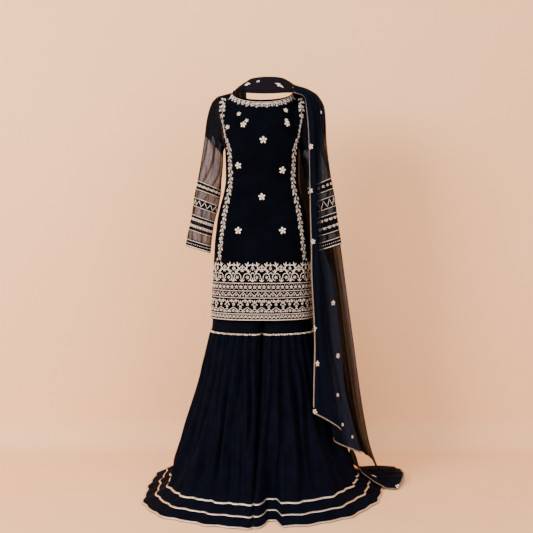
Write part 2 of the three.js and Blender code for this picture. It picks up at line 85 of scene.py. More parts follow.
# Where a point lies on the flat cloth, in millimetres.
def clothCoordinates(tree):
    return addNode(tree, "ShaderNodeUVMap", {"uv_map": "cloth"}).outputs["UV"]


def colourBetween(tree, factor, first, second, low=0.0, high=1.0):
    ramp = addNode(tree, "ShaderNodeValToRGB", Fac=factor)
    ramp.color_ramp.elements[0].position = low
    ramp.color_ramp.elements[0].color = linearColour(first)
    ramp.color_ramp.elements[1].position = high
    ramp.color_ramp.elements[1].color = linearColour(second)
    return ramp.outputs["Color"]


def mathNode(tree, operation, first, second=None):
    node = addNode(tree, "ShaderNodeMath", {"operation": operation})
    for i, value in enumerate((first, second)):
        if isinstance(value, (int, float)):
            node.inputs[i].default_value = value
        elif value is not None:
            tree.links.new(value, node.inputs[i])
    return node.outputs[0]


def addBump(tree, shader, height, distance, strength):
    bump = addNode(tree, "ShaderNodeBump", {"Distance": distance, "Strength": strength}, Height=height)
    tree.links.new(bump.outputs["Normal"], shader.inputs["Normal"])


# Noise with a scale in patches to the millimetre, or to the metre on paper and metal.
def noiseOf(tree, vector, scale, detail=3.0):
    noise = addNode(tree, "ShaderNodeTexNoise", {"Scale": scale, "Detail": detail}, Vector=vector)
    return noise.outputs["Fac"]


# Ridges of thread at a pitch in millimetres. Slanting ones lie 1.4 times as far apart.
def threadsOf(tree, vector, pitch, direction):
    scale = 2 * math.pi / (20 * pitch)
    wave = {"wave_type": "BANDS", "bands_direction": direction, "Scale": scale, "Distortion": 0.0}
    return addNode(tree, "ShaderNodeTexWave", wave, Vector=vector).outputs["Fac"]


# Black-navy pile that drinks the light and shows a cool rim where it turns away.
def makeVelvet():
    settings = {
        "Roughness": 0.92,
        "Sheen Weight": 0.01,
        "Sheen Roughness": 0.4,
        "Sheen Tint": linearColour("#3a4566"),
        "Specular IOR Level": 0.02,
    }
    material, tree, shader = newMaterial("navyVelvet", settings)
    cloth = clothCoordinates(tree)
    brushed = noiseOf(tree, cloth, 0.012)  # patches of about 80 mm, where the pile was stroked
    colour = colourBetween(tree, brushed, "#020409", "#040710", 0.35, 0.7)
    tree.links.new(colour, shader.inputs["Base Color"])
    pile = noiseOf(tree, cloth, 1.6, 2.0)  # tufts of about 0.6 mm
    addBump(tree, shader, pile, 0.0004, 0.4)
    return material


# Crinkled navy crepe: matt, with soft bluish light on the folds.
def makeGeorgette():
    settings = {
        "Roughness": 0.8,
        "Sheen Weight": 0.004,
        "Sheen Roughness": 0.5,
        "Sheen Tint": linearColour("#5a6a9c"),
        "Specular IOR Level": 0.02,
    }
    material, tree, shader = newMaterial("navyGeorgette", settings)
    cloth = clothCoordinates(tree)
    mottle = noiseOf(tree, cloth, 0.02)  # patches of about 50 mm
    colour = colourBetween(tree, mottle, "#04060f", "#070b19", 0.3, 0.75)
    tree.links.new(colour, shader.inputs["Base Color"])
    crinkle = noiseOf(tree, cloth, 0.9, 4.0)  # the crepe's crinkle, about 1 mm
    addBump(tree, shader, crinkle, 0.0005, 0.5)
    return material


# Fine net: the light goes through its holes, and fewer of them show where it is doubled or folded.
def makeNet(name, thread, shadow, single, doubled):
    material, tree, shader = newMaterial(name, {"Roughness": 0.8, "Specular IOR Level": 0.02})
    cloth = clothCoordinates(tree)
    pitch = 1.2  # real net has threads about 0.8 mm apart, too fine to show here
    straight = threadsOf(tree, cloth, pitch, "X")
    slanting = threadsOf(tree, cloth, pitch, "DIAGONAL")
    mesh = mathNode(tree, "MAXIMUM", straight, slanting)
    cover = addNode(tree, "ShaderNodeAttribute", {"attribute_name": "cover"}).outputs["Fac"]
    uneven = mathNode(tree, "SUBTRACT", noiseOf(tree, cloth, 0.03), 0.5)
    amount = mathNode(tree, "ADD", cover, mathNode(tree, "MULTIPLY", uneven, 0.25))
    limits = {"To Min": single, "To Max": doubled}
    veil = addNode(tree, "ShaderNodeMapRange", limits, Value=amount).outputs[0]
    bare = mathNode(tree, "SUBTRACT", 1.0, veil)
    holes = mathNode(tree, "MULTIPLY", bare, mathNode(tree, "SUBTRACT", mesh, 0.6))
    alpha = addNode(tree, "ShaderNodeMath", {"operation": "MULTIPLY_ADD", 1: 0.4}, Value=holes)
    tree.links.new(veil, alpha.inputs[2])
    alpha = addNode(tree, "ShaderNodeClamp", {"Max": 0.995}, Value=alpha.outputs[0]).outputs[0]
    tree.links.new(alpha, shader.inputs["Alpha"])
    # The colour darkens from the thread colour to the shadow colour as the cover rises: in dense net that is
    # its own dark navy, and on the sleeves' sides, folds and streaks it is painted shade.
    tree.links.new(colourBetween(tree, amount, thread, shadow, 0.02, 0.42), shader.inputs["Base Color"])
    return material


# Silver thread and sequins: grains a pitch in millimetres apart, with painted glints: the colour is bright
# in the middle of each grain, as where a sequin catches the light, and darker beside it. The pearls are less
# metallic and paler.
def makeMetalThread(name, dark, light, metallic, roughness, pitch):
    material, tree, shader = newMaterial(name, {"Metallic": metallic, "Roughness": roughness})
    place = addNode(tree, "ShaderNodeTexCoord").outputs["Object"]
    grain = addNode(tree, "ShaderNodeTexVoronoi", {"Scale": 1000 / pitch}, Vector=place)
    fine = noiseOf(tree, place, 1000 / (4 * pitch), 2.0)
    paintedGlints = mathNode(tree, "MULTIPLY_ADD", grain.outputs["Distance"], -0.5)
    tree.links.new(mathNode(tree, "ADD", fine, 0.3), paintedGlints.node.inputs[2])
    tree.links.new(colourBetween(tree, paintedGlints, dark, light, 0.25, 0.7), shader.inputs["Base Color"])
    addBump(tree, shader, grain.outputs["Distance"], 0.0006, 0.6)
    return material


# Gota: flat silver foil woven with white thread, bright with fine slanting ribs.
def makeRibbon():
    material, tree, shader = newMaterial("gotaRibbon", {"Metallic": 0.75, "Roughness": 0.34})
    cloth = clothCoordinates(tree)
    ribs = threadsOf(tree, cloth, 1.4, "DIAGONAL")
    tree.links.new(colourBetween(tree, ribs, "#a79c90", "#f4ece2", 0.1, 0.8), shader.inputs["Base Color"])
    addBump(tree, shader, ribs, 0.0004, 0.5)
    return material


# Seamless studio paper, matt, with a hardly visible tooth.
def makePaper(name, base):
    material, tree, shader = newMaterial(name, {"Roughness": 0.95, "Specular IOR Level": 0.05})
    place = addNode(tree, "ShaderNodeTexCoord").outputs["Object"]
    soft = noiseOf(tree, place, 1.4, 1.0)
    tree.links.new(colourBetween(tree, soft, base[0], base[1], 0.3, 0.7), shader.inputs["Base Color"])
    return material


# The net's thread looks bluer where the light paper shows through it than where it lies on dark cloth, so
# the right sleeve and the dupatta's back fall have a bluer one than the left sleeve and the front fall.
looks = {
    "velvet": makeVelvet(),
    "georgette": makeGeorgette(),
    "sleeveNetRight": makeNet("sleeveNetRight", "#566580", "#080b12", 0.56, 0.99),
    "sleeveNetLeft": makeNet("sleeveNetLeft", "#50555e", "#080b12", 0.56, 0.99),
    "dupattaNet": makeNet("dupattaNet", "#1b2131", "#060a16", 0.88, 1.0),
    "dupattaFallNet": makeNet("dupattaFallNet", "#34445f", "#060a16", 0.88, 1.0),
    "embroidery": makeMetalThread("silverEmbroidery", "#827c78", "#ebe6e2", 0.4, 0.45, 0.9),
    "pearls": makeMetalThread("pearlSequins", "#b8b0a9", "#faf6f1", 0.15, 0.4, 0.9),
    "edging": makeMetalThread("silverEdging", "#4a4440", "#958c84", 0.45, 0.5, 1.1),
    "gota": makeRibbon(),
}

# Cloth as a grid of points: rows go down the piece and columns across it


# Values y, given at rising x, along smooth curves at any other places.
def smoothAlong(x, y, at):
    x, y = np.asarray(x, float), np.asarray(y, float)
    at = np.clip(np.asarray(at, float), x[0], x[-1])
    k = np.clip(np.searchsorted(x, at, side="right") - 1, 0, len(x) - 2)
    span = x[k + 1] - x[k]
    t = (at - x[k]) / span
    wide = (slice(None),) + (None,) * (y.ndim - 1)
    secant = np.diff(y, axis=0) / np.diff(x)[wide]
    slope = np.concatenate([secant[:1], (secant[1:] + secant[:-1]) / 2, secant[-1:]])
    bend = (2 * t**3 - 3 * t**2 + 1)[wide] * y[k] + (3 * t**2 - 2 * t**3)[wide] * y[k + 1]
    lean = (t**3 - 2 * t**2 + t)[wide] * slope[k] + (t**3 - t**2)[wide] * slope[k + 1]
    return bend + span[wide] * lean


# A table as one array for each named column, from the lowest row up.
def namedRows(names, rows):
    values = np.array(sorted(rows), float)
    return dict(zip(names.split(), values.T))


def tableAt(table, h):
    return {name: smoothAlong(table["h"], column, h) for name, column in table.items()}


def smoothstep(x, low, high):
    t = np.clip((x - low) / (high - low), 0, 1)
    return t * t * (3 - 2 * t)


# Unit normals of a grid that point away from a centre: (x, y) at each height, or a point.
def normalsOf(grid, centre):
    down = np.gradient(grid, axis=0)
    across = np.gradient(grid, axis=1)
    normal = np.cross(across, down)
    normal /= np.maximum(np.linalg.norm(normal, axis=2, keepdims=True), 1e-9)
    size = len(centre)
    facing = (normal[..., :size] * (grid[..., :size] - np.array(centre, float))).sum()
    return normal if facing > 0 else -normal


# How far each point lies along its row and its column, in millimetres on the cloth.
def lengthsOf(grid):
    across = np.zeros(grid.shape[:2])
    across[:, 1:] = np.cumsum(np.linalg.norm(np.diff(grid, axis=1), axis=2), axis=1)
    across -= across[:, grid.shape[1] // 2][:, None]
    down = np.zeros(grid.shape[:2])
    down[1:] = np.cumsum(np.linalg.norm(np.diff(grid, axis=0), axis=2), axis=0)
    return np.stack([across, down.mean(axis=1, keepdims=True) + 0 * down], axis=2)


def addMesh(name, points, faces, look, uv=None, cover=None):
    mesh = bpy.data.meshes.new(name)
    mesh.from_pydata(toFrame(points).tolist(), [], faces if isinstance(faces, list) else faces.tolist())
    mesh.polygons.foreach_set("use_smooth", np.ones(len(mesh.polygons), bool))
    if uv is not None:
        corners = np.zeros(len(mesh.loops), np.int32)
        mesh.loops.foreach_get("vertex_index", corners)
        mesh.uv_layers.new(name="cloth").data.foreach_set("uv", uv.reshape(-1, 2)[corners].ravel())
    if cover is not None:
        layer = mesh.attributes.new("cover", "FLOAT", "POINT")
        layer.data.foreach_set("value", np.asarray(cover, np.float32).ravel())
    mesh.materials.append(looks[look])
    mesh.update()
    piece = bpy.data.objects.new(name, mesh)
    bpy.context.scene.collection.objects.link(piece)
    return piece


def quadsOf(rows, columns, start=0):
    i, j = np.meshgrid(np.arange(rows - 1), np.arange(columns - 1), indexing="ij")
    corner = start + i * columns + j
    return np.stack([corner, corner + 1, corner + columns + 1, corner + columns], axis=2).reshape(-1, 4)


# A sheet in the form of a grid. With thick it is a closed shell that lies inside the grid.
def addCloth(name, grid, centre, look, thick=0.0, cover=None):
    rows, columns = grid.shape[:2]
    uv = lengthsOf(grid)
    if not thick:
        return addMesh(name, grid, quadsOf(rows, columns), look, uv, cover)
    inner = grid - thick * normalsOf(grid, centre)
    count = rows * columns
    edge = np.concatenate(
        [
            np.arange(columns),
            np.arange(1, rows) * columns + columns - 1,
            (rows - 1) * columns + np.arange(columns - 2, -1, -1),
            np.arange(rows - 2, 0, -1) * columns,
        ]
    )
    following = np.roll(edge, -1)
    rim = np.stack([edge, edge + count, following + count, following], axis=1)
    faces = [quadsOf(rows, columns), quadsOf(rows, columns, count)[:, ::-1], rim]
    points = np.concatenate([grid.reshape(-1, 3), inner.reshape(-1, 3)])
    return addMesh(name, points, np.concatenate(faces), look, np.concatenate([uv, uv]))


# Says what a piece stands for: its CAD nodes, its finish and the cut of its cloth.
# Attaches a piece to the root, and hides the CAD nodes that it stands for.
def declare(piece, nodes):
    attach(piece, "root")
    if nodes:
        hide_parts(*nodes)


# What is sewn on a cloth follows its grid


# Collects the motifs and lines sewn on one cloth and makes one mesh of them.
class SewnWork:
    def __init__(self, grid, centre):
        self.grid = grid
        self.lengths = lengthsOf(grid)
        self.normal = normalsOf(grid, centre)
        self.down = np.gradient(grid, axis=0)
        self.across = np.gradient(grid, axis=1)
        self.points = []
        self.faces = []
        self.count = 0

    def sample(self, field, rows, columns):
        rows = np.clip(rows, 0, field.shape[0] - 1.0001)
        columns = np.clip(columns, 0, field.shape[1] - 1.0001)
        i, j = rows.astype(int), columns.astype(int)
        a, b = (rows - i)[..., None], (columns - j)[..., None]
        top = field[i, j] * (1 - b) + field[i, j + 1] * b
        return top * (1 - a) + (field[i + 1, j] * (1 - b) + field[i + 1, j + 1] * b) * a

    def keep(self, points, faces):
        self.points.append(points.reshape(-1, 3))
        self.faces += [tuple(int(v) + self.count for v in face) for face in faces]
        self.count += len(self.points[-1])

    # The columns at distances along a row from its middle.
    def columnAt(self, row, distance):
        lengths = self.lengths[int(round(row)), :, 0]
        return np.interp(distance, lengths, np.arange(len(lengths)))

    def halfWidth(self, row):
        return self.lengths[int(round(row)), :, 0].max()

    # The row and column that seen from the front lies at x and a height.
    def nearest(self, x, height, frontmost=True):
        gap = np.hypot(self.grid[..., 0] - x, self.grid[..., 2] - height)
        score = gap + (0.02 if frontmost else -0.02) * self.grid[..., 1]
        return np.unravel_index(np.argmin(score), gap.shape)

    # Sews a motif at each place: (row, column, angle in degrees, scale).
    def stamp(self, motif, places, lift=0.4):
        shape, faces = motif
        places = np.asarray(places, float).reshape(-1, 4)
        rows, columns = places[:, 0], places[:, 1]
        normal = self.sample(self.normal, rows, columns)
        normal /= np.linalg.norm(normal, axis=1, keepdims=True)
        down = self.sample(self.down, rows, columns)
        across = self.sample(self.across, rows, columns)
        right = across - normal * (across * normal).sum(1, keepdims=True)
        right /= np.linalg.norm(right, axis=1, keepdims=True)
        right *= np.sign(right[:, :1] + 1e-9)
        up = np.cross(normal, right)
        up *= np.sign(up[:, 2:] + 1e-9)
        turn = np.radians(places[:, 2])[:, None]
        a = places[:, 3:] * (shape[None, :, 0] * np.cos(turn) - shape[None, :, 1] * np.sin(turn))
        b = places[:, 3:] * (shape[None, :, 0] * np.sin(turn) + shape[None, :, 1] * np.cos(turn))
        offset = a[..., None] * right[:, None] + b[..., None] * up[:, None]
        # The offsets in millimetres become steps along the grid's rows and columns.
        downSquare = (down * down).sum(1)[:, None]
        acrossSquare = (across * across).sum(1)[:, None]
        skew = (down * across).sum(1)[:, None]
        area = np.maximum(downSquare * acrossSquare - skew**2, 1e-9)
        offDown = (offset * down[:, None]).sum(2)
        offAcross = (offset * across[:, None]).sum(2)
        atRow = rows[:, None] + (offDown * acrossSquare - offAcross * skew) / area
        atColumn = columns[:, None] + (offAcross * downSquare - offDown * skew) / area
        outward = self.sample(self.normal, atRow, atColumn)
        raised = lift + shape[None, :, 2] * np.sqrt(places[:, 3:])
        spots = self.sample(self.grid, atRow, atColumn) + outward * raised[..., None]
        for points in spots:
            self.keep(points, faces)

    # A raised cord of a width along a path of rows and columns.
    def line(self, rows, columns, width, height=0.9, lift=0.3):
        rows, columns = np.broadcast_arrays(np.asarray(rows, float), np.asarray(columns, float))
        middle = self.sample(self.grid, rows, columns)
        normal = self.sample(self.normal, rows, columns)
        along = np.gradient(middle, axis=0)
        beside = np.cross(along, normal)
        beside *= width / 2 / np.maximum(np.linalg.norm(beside, axis=1, keepdims=True), 1e-9)
        profile = [(-1, 0), (-0.6, 0.8), (0, 1), (0.6, 0.8), (1, 0)]
        strands = [middle + s * beside + normal * (lift + height * r) for s, r in profile]
        grid = np.stack(strands, axis=1)
        self.keep(grid, quadsOf(len(rows), len(profile)))

    def finish(self, name, look):
        return addMesh(name, np.concatenate(self.points), self.faces, look)


# Motifs, flat in millimetres with their height as the third number


def joined(parts):
    points, faces, count = [], [], 0
    for shape, sides in parts:
        points.append(shape)
        faces += [tuple(v + count for v in side) for side in sides]
        count += len(shape)
    return np.concatenate(points), faces


# A low closed relief over an outline: an edge, a raised ring and a top.
def dome(outline, height, crown=0.55, centre=None):
    outline = np.asarray(outline, float)
    n = len(outline)
    middle = outline.mean(axis=0) if centre is None else np.asarray(centre, float)
    ring = middle + (outline - middle) * crown
    points = np.vstack(
        [
            np.column_stack([outline, np.zeros(n)]),
            np.column_stack([ring, np.full(n, height * 0.85)]),
            [[*middle, height]],
        ]
    )
    faces = [(i, (i + 1) % n, n + (i + 1) % n, n + i) for i in range(n)]
    faces += [(n + i, n + (i + 1) % n, 2 * n) for i in range(n)]
    return points, faces


def turnedBy(part, degrees, x=0.0, y=0.0, scale=1.0):
    shape, faces = part
    c, s = math.cos(math.radians(degrees)), math.sin(math.radians(degrees))
    moved = shape.copy()
    moved[:, 0] = scale * (shape[:, 0] * c - shape[:, 1] * s) + x
    moved[:, 1] = scale * (shape[:, 0] * s + shape[:, 1] * c) + y
    return moved, faces


# A rounded petal that starts at the origin and points up.
def petal(length, width, height, sides=8):
    turn = np.linspace(0, 2 * np.pi, sides, endpoint=False)
    reach = (1 - np.cos(turn)) / 2
    spread = np.sin(turn) * (0.5 + 0.5 * reach) * width / 2
    return dome(np.column_stack([spread, reach * length]), height, 0.6)


def bead(radius, height=None, sides=7):
    turn = np.linspace(0, 2 * np.pi, sides, endpoint=False)
    return dome(np.column_stack([np.cos(turn), np.sin(turn)]) * radius, height or radius, 0.7)


def leaf(length, width, height=0.9):
    t = np.linspace(0, 1, 5)
    side = width / 2 * np.sin(np.pi * t) ** 0.8
    ahead = np.column_stack([side, t * length])[1:]
    back = np.column_stack([-side, t * length])[-2:0:-1]
    return dome(np.vstack([[[0, 0]], ahead, back]), height)


# A raised cord along a flat path.
def stem(path, width, height=0.7):
    path = np.asarray(path, float)
    along = np.gradient(path, axis=0)
    beside = np.column_stack([along[:, 1], -along[:, 0]])
    beside *= width / 2 / np.maximum(np.linalg.norm(beside, axis=1, keepdims=True), 1e-9)
    strands = [(path - beside, 0), (path, height), (path + beside, 0)]
    points = np.stack([np.column_stack([p, np.full(len(p), z)]) for p, z in strands], axis=1).reshape(-1, 3)
    return points, [tuple(f) for f in quadsOf(len(path), 3)]


# Rounded petals of sequins round a bead, with dark gaps between them
def flower(size, petals=5, height=1.5):
    step = 360 / petals
    one = petal(size * 0.4, size * 0.37, height)
    parts = [bead(size * 0.11, height * 1.3)]
    for i in range(petals):
        angle = math.radians(i * step)
        parts.append(turnedBy(one, i * step, -size * 0.1 * math.sin(angle), size * 0.1 * math.cos(angle)))
    return joined(parts)


# An arc of a circle as a path: its middle, radius and the angles where it starts and ends
def arc(x, y, radius, start, end, steps=13):
    angle = np.radians(np.linspace(start, end, steps))
    return np.column_stack([x + radius * np.cos(angle), y + radius * np.sin(angle)])


# Three leaves that open from one point, with a bead where they meet
def sprout(size):
    parts = [leaf(size, size * 0.3), bead(size * 0.13)]
    for side in (-1, 1):
        parts.append(turnedBy(leaf(size * 0.8, size * 0.26), -side * 50, side * size * 0.04, 0))
    return joined(parts)


# One repeat of the climbing border: curls round flowers, with flowers and sprouts above them
def scroll(wide=68.0):
    parts = [
        turnedBy(flower(14.0), 0, 0, 42),
        turnedBy(sprout(13.0), 0, 0, 3),
        turnedBy(sprout(11.0), 0, 0, 50),
        turnedBy(flower(12.5), 36, wide / 2, 47),
    ]
    parts.append(turnedBy(sprout(12.0), 0, wide / 2, 55))
    parts.append(turnedBy(sprout(12.0), 0, wide / 2, 4))
    for side in (-1, 1):
        x = side * wide / 4
        ends = (-75, 200) if side > 0 else (255, -20)
        parts.append(stem(arc(x, 18, 12.5, *ends), 2.4, 1.1))
        parts.append(turnedBy(flower(12.0), 20, x + side, 17))
        climb = [[x + side * 4, 29.5], [x + side * 1.5, 37], [x - side * 1.5, 45], [x - side * 0.5, 53]]
        parts.append(stem(climb, 2.0))
        parts.append(turnedBy(sprout(15.0), -side * 14, x - side * 0.5, 55))
        parts.append(turnedBy(sprout(12.0), side * 58, x - side * 1.5, 45))
        parts.append(turnedBy(sprout(11.0), -side * 72, x + side * 2, 36))
        parts.append(stem(arc(x - side * 8, 36, 8.0, 90 - side * 80, 90 + side * 40, 7), 1.6))
        for out, up, angle, size in ((12, 27, 35, 9.0), (11, 7, 120, 8.0)):
            parts.append(turnedBy(leaf(size, size * 0.34), -side * angle, x + side * out, up))
    return joined(parts)


motifs = {
    "flower": flower(10.0),
    "leaf": leaf(10.0, 4.2),
    "bead": bead(1.0),
    "sprout": sprout(10.0),
    "scroll": scroll(),
}
print("motifs ready", flush=True)

# Kurti

kurtiTable = namedRows(
    "h wide front back",
    [
        (1265, 138, 120, 94),
        (1225, 136, 112, 92),
        (1180, 135, 101, 90),
        (1139, 136, 96, 92),
        (1103, 142, 97, 100),
        (1052, 155, 101, 113),
        (1007, 165, 106, 122),
        (966, 170, 110, 128),
        (921, 175, 114, 132),
        (854, 179, 120, 135),
        (772, 184, 126, 136),
        (638, 190, 134, 140),
    ],
)
kurti = {
    "armpit": 1265,
    "armpitWide": 138,
    "shoulderTip": (165, 1462),
    "neckEdge": (112, 1476),
    "neckShare": 0.68,  # of a panel's half width at the top
    "armholeDeep": 50,
    "chestRound": 13,
    "hem": 638,
    "ventTop": 860,
    "ventOpen": 6,
    "thick": 1.1,
    "cut": (0.5, 0.86),
    "cutArea": 0.36,
    "yokeRows": 44,
    "bodyRows": 150,
    "columns": 97,
}
seam = 0.25


# The top edge of a panel: the neckline in the middle and the shoulder seams at its two sides.
def necklineRow(side, u):
    neckWide, neckTop = kurti["neckEdge"]
    tipWide, tipHeight = kurti["shoulderTip"]
    neckShare = kurti["neckShare"]
    drop, hollow = (44, 76) if side < 0 else (16, 62)
    reach = np.abs(u)
    around = np.clip(u / neckShare, -1, 1) * np.pi / 2
    neck = [
        neckWide * np.sin(around),
        side * (seam + hollow * np.cos(around)),
        neckTop - drop * np.cos(around),
    ]
    t = np.clip((reach - neckShare) / (1 - neckShare), 0, 1)
    shoulder = [
        np.sign(u) * (neckWide + (tipWide - neckWide) * t),
        np.full(len(u), side * seam),
        neckTop - (neckTop - tipHeight) * t,
    ]
    return np.where((reach >= neckShare)[:, None], np.column_stack(shoulder), np.column_stack(neck))


# The side edge of a panel from the armpit up to the shoulder's tip, for every column.
def armholeEdge(side, u, rise, deep):
    tipWide, tipHeight = kurti["shoulderTip"]
    wide, armpit = kurti["armpitWide"], kurti["armpit"]
    end = np.where(u < 0, -1.0, 1.0)
    x = end[None] * (wide + (tipWide - wide) * rise[:, None])
    y = np.broadcast_to(side * (seam + deep)[:, None], x.shape)
    h = np.broadcast_to((armpit + (tipHeight - armpit) * rise)[:, None], x.shape)
    return np.stack([x, y, h], axis=2)


# The kurti above the armpits, as in the CAD: v is 0 at the armpits and 1 at the neck and shoulders.
def yokeGrid(side, u, v):
    turn = u * np.pi / 2
    first = tableAt(kurtiTable, np.array([float(kurti["armpit"])]))
    deep = first["front"] if side < 0 else first["back"]
    shapeX = np.sign(u) * np.abs(np.sin(turn)) ** 0.92
    low = np.stack([first["wide"] * shapeX, side * (seam + deep * np.cos(turn).clip(0) ** 0.75)], axis=1)
    low = np.column_stack([low, np.full(len(u), float(kurti["armpit"]))])
    top = necklineRow(side, u)
    grid = low[None] * (1 - v[:, None, None]) + top[None] * v[:, None, None]
    hole = armholeEdge(side, u, (1 - np.cos(np.pi * v)) / 2, kurti["armholeDeep"] * np.sin(np.pi * v))
    straight = armholeEdge(side, u, v, 0 * v)
    grid = grid + (hole - straight) * (np.abs(u) ** 3)[None, :, None]
    grid[..., 1] += side * kurti["chestRound"] * np.sin(np.pi * v)[:, None] * (1 - u**4)[None]
    return grid


def kurtiGrid(side):
    u = np.linspace(-1, 1, kurti["columns"])
    yoke = yokeGrid(side, u, np.linspace(1, 0, kurti["yokeRows"], endpoint=False))
    h = np.linspace(kurti["armpit"], kurti["hem"], kurti["bodyRows"])
    row = tableAt(kurtiTable, h)
    turn = u * np.pi / 2
    deep = row["front"] if side < 0 else row["back"]
    below = (kurti["ventTop"] - h) / (kurti["ventTop"] - kurti["hem"])
    vent = kurti["ventOpen"] * np.clip(below, 0, 1)
    x = row["wide"][:, None] * (np.sign(u) * np.abs(np.sin(turn)) ** 0.92)[None]
    shape = np.cos(turn).clip(0) ** 0.75
    low = np.clip((1000 - h) / (1000 - kurti["hem"]), 0, 1)[:, None]
    waist = np.exp(-(((h - 1130) / 70) ** 2))[:, None]
    folds = 1.6 * low * np.sin(x / 21 + 0.6 * side) + 1.1 * low * np.sin(x / 12.5 + h[:, None] / 160)
    folds = folds + 1.3 * waist * np.sin(h[:, None] / 11 + np.abs(x) / 26 + side)
    y = side * (seam + vent[:, None] + deep[:, None] * shape[None] + folds * shape[None] ** 2 * 0.8)
    body = np.stack([x, y, np.broadcast_to(h[:, None], x.shape)], axis=2)
    return np.concatenate([yoke, body])


# The grid row of the kurti's body at a height.
def kurtiRow(h):
    share = (kurti["armpit"] - h) / (kurti["armpit"] - kurti["hem"])
    return kurti["yokeRows"] + share * (kurti["bodyRows"] - 1)


# A motif again and again across the kurti at one height
def sewRow(work, motif, h, pitch, scale, angle=0.0, shift=0.0):
    row = kurtiRow(h)
    half = work.halfWidth(row) - 5
    count = max(2, int(round(2 * half / pitch)))
    distance = (np.arange(-1, count + 1) + 0.5 + shift) / count * 2 * half - half
    distance = distance[np.abs(distance) < half - pitch * 0.12]
    columns = work.columnAt(row, distance)
    work.stamp(motifs[motif], [(row, c, angle, scale) for c in columns])


def sewLine(work, h, width):
    columns = np.linspace(0.3, kurti["columns"] - 1.3, 3 * kurti["columns"])
    work.line(np.full(len(columns), kurtiRow(h)), columns, width)


# A zigzag, or scallops with a power above 1, between two heights.
def sewWave(work, low, high, pitch, width, power=1.0):
    middle = kurtiRow((low + high) / 2)
    half = work.halfWidth(middle) - 5
    count = int(round(2 * half / pitch))
    distance = np.linspace(-half, half, count * 8 + 1)
    phase = np.abs(((distance + half) / (2 * half) * count * 2) % 2 - 1) ** power
    h = low + (high - low) * phase
    work.line(kurtiRow(h), work.columnAt(middle, distance), width)


# The rows of the border above the hem: motif, height, repeat, scale, turn and shift along the row
hemRows = [
    ("scroll", 776, 70, 1.06, 0, 0.0),
    ("flower", 759.5, 16.5, 1.34, 0, 0.0),
    ("bead", 767, 16.5, 1.4, 0, 0.5),
    ("bead", 752, 16.5, 1.4, 0, 0.5),
    ("flower", 730.5, 27, 0.75, 0, 0.5),
    ("bead", 739.5, 27, 1.7, 0, 0.0),
    ("leaf", 726, 27, 0.6, -50, 0.78),
    ("leaf", 726, 27, 0.6, 50, 0.22),
    ("flower", 710, 50, 1.2, 10, 0.34),
    ("flower", 710, 50, 1.2, -10, 0.66),
    ("flower", 698, 50, 1.15, 0, 0.5),
    ("sprout", 702, 50, 1.2, 0, 0.0),
    ("flower", 690, 50, 1.1, 36, 0.0),
    ("leaf", 684, 50, 0.9, 125, 0.03),
    ("leaf", 684, 50, 0.9, -125, -0.03),
    ("flower", 676, 50, 1.15, 0, 0.5),
    ("leaf", 694, 50, 1.0, 40, 0.2),
    ("leaf", 694, 50, 1.0, -40, -0.2),
    ("leaf", 712, 50, 0.9, 180, 0.5),
    ("leaf", 669, 50, 1.0, -45, 0.12),
    ("leaf", 669, 50, 1.0, 45, -0.12),
    ("leaf", 669, 50, 0.8, -20, 0.28),
    ("leaf", 669, 50, 0.8, 20, -0.28),
    ("leaf", 714, 50, 0.8, 160, 0.19),
    ("leaf", 714, 50, 0.8, -160, -0.19),
    ("bead", 653.5, 14.5, 2.3, 0, 0.5),
    ("leaf", 661, 14.5, 0.55, 180, 0.0),
]
hemLines = [(773, 2.6), (746, 2.3), (721, 2.3), (664, 2.3), (643, 3.2)]


# The border above the hem: scrolls, then rows of flowers, zigzag, trellis and scallops between lines
def sewHem(work):
    for motif, h, pitch, scale, angle, shift in hemRows:
        sewRow(work, motif, h, pitch, scale, angle, shift)
    for h, width in hemLines:
        sewLine(work, h, width)
    sewWave(work, 727, 741, 27, 2.3)
    sewWave(work, 671, 688, 50, 2.2)
    sewWave(work, 649, 660, 14.5, 2.0, power=1.7)


# How far the side bands lie from the middle, and how wide they are, from the shoulder to the border.
sideBand = namedRows(
    "h x wide",
    [
        (1447, 144, 22),
        (1420, 146, 24),
        (1398, 146, 22),
        (1380, 146, 13),
        (1366, 145, 9),
        (1335, 140, 8.5),
        (1306, 134, 11),
        (1274, 123, 17),
        (1195, 116, 20),
        (1133, 116, 21),
        (1050, 131, 23),
        (967, 144, 21),
        (858, 156, 18),
    ],
)


# A climbing band: a stem that sways, with small flowers and sprouts on its two sides in turn
def sewSideBand(work, side, frontmost):
    steps = [1447.0]
    while steps[-1] > 862:
        steps.append(steps[-1] - max(9.0, 0.66 * tableAt(sideBand, steps[-1:])["wide"][0]))
    h = np.array(steps)
    x, wide = (tableAt(sideBand, h)[name] for name in ("x", "wide"))
    turn = (-1.0) ** np.arange(len(h))
    stemSpots = [work.nearest(side * a, b, frontmost) for a, b in zip(x + 0.1 * turn * wide, h)]
    budX, budH = x - 0.26 * turn * wide, h + 0.1 * wide
    flowerSpots = [work.nearest(side * a, b, frontmost) for a, b in zip(budX, budH)]
    rows, columns = np.array(stemSpots, float).T
    work.line(rows, columns, 1.5)
    flowers, sprouts, leaves = [], [], []
    for i, (way, w) in enumerate(zip(turn, wide)):
        outward = side * way
        flowers.append((*flowerSpots[i], 25 * i, w / 10 * (0.44 + 0.07 * (i % 3))))
        sprouts.append((*stemSpots[i], -outward * (66 + 12 * (i % 2)), w / 24))
        leaves.append((*stemSpots[i], -outward * 12, w / 26))
        leaves.append((*flowerSpots[i], outward * (150 - 20 * (i % 2)), w / 24))
    work.stamp(motifs["flower"], flowers)
    work.stamp(motifs["sprout"], sprouts)
    work.stamp(motifs["leaf"], leaves)


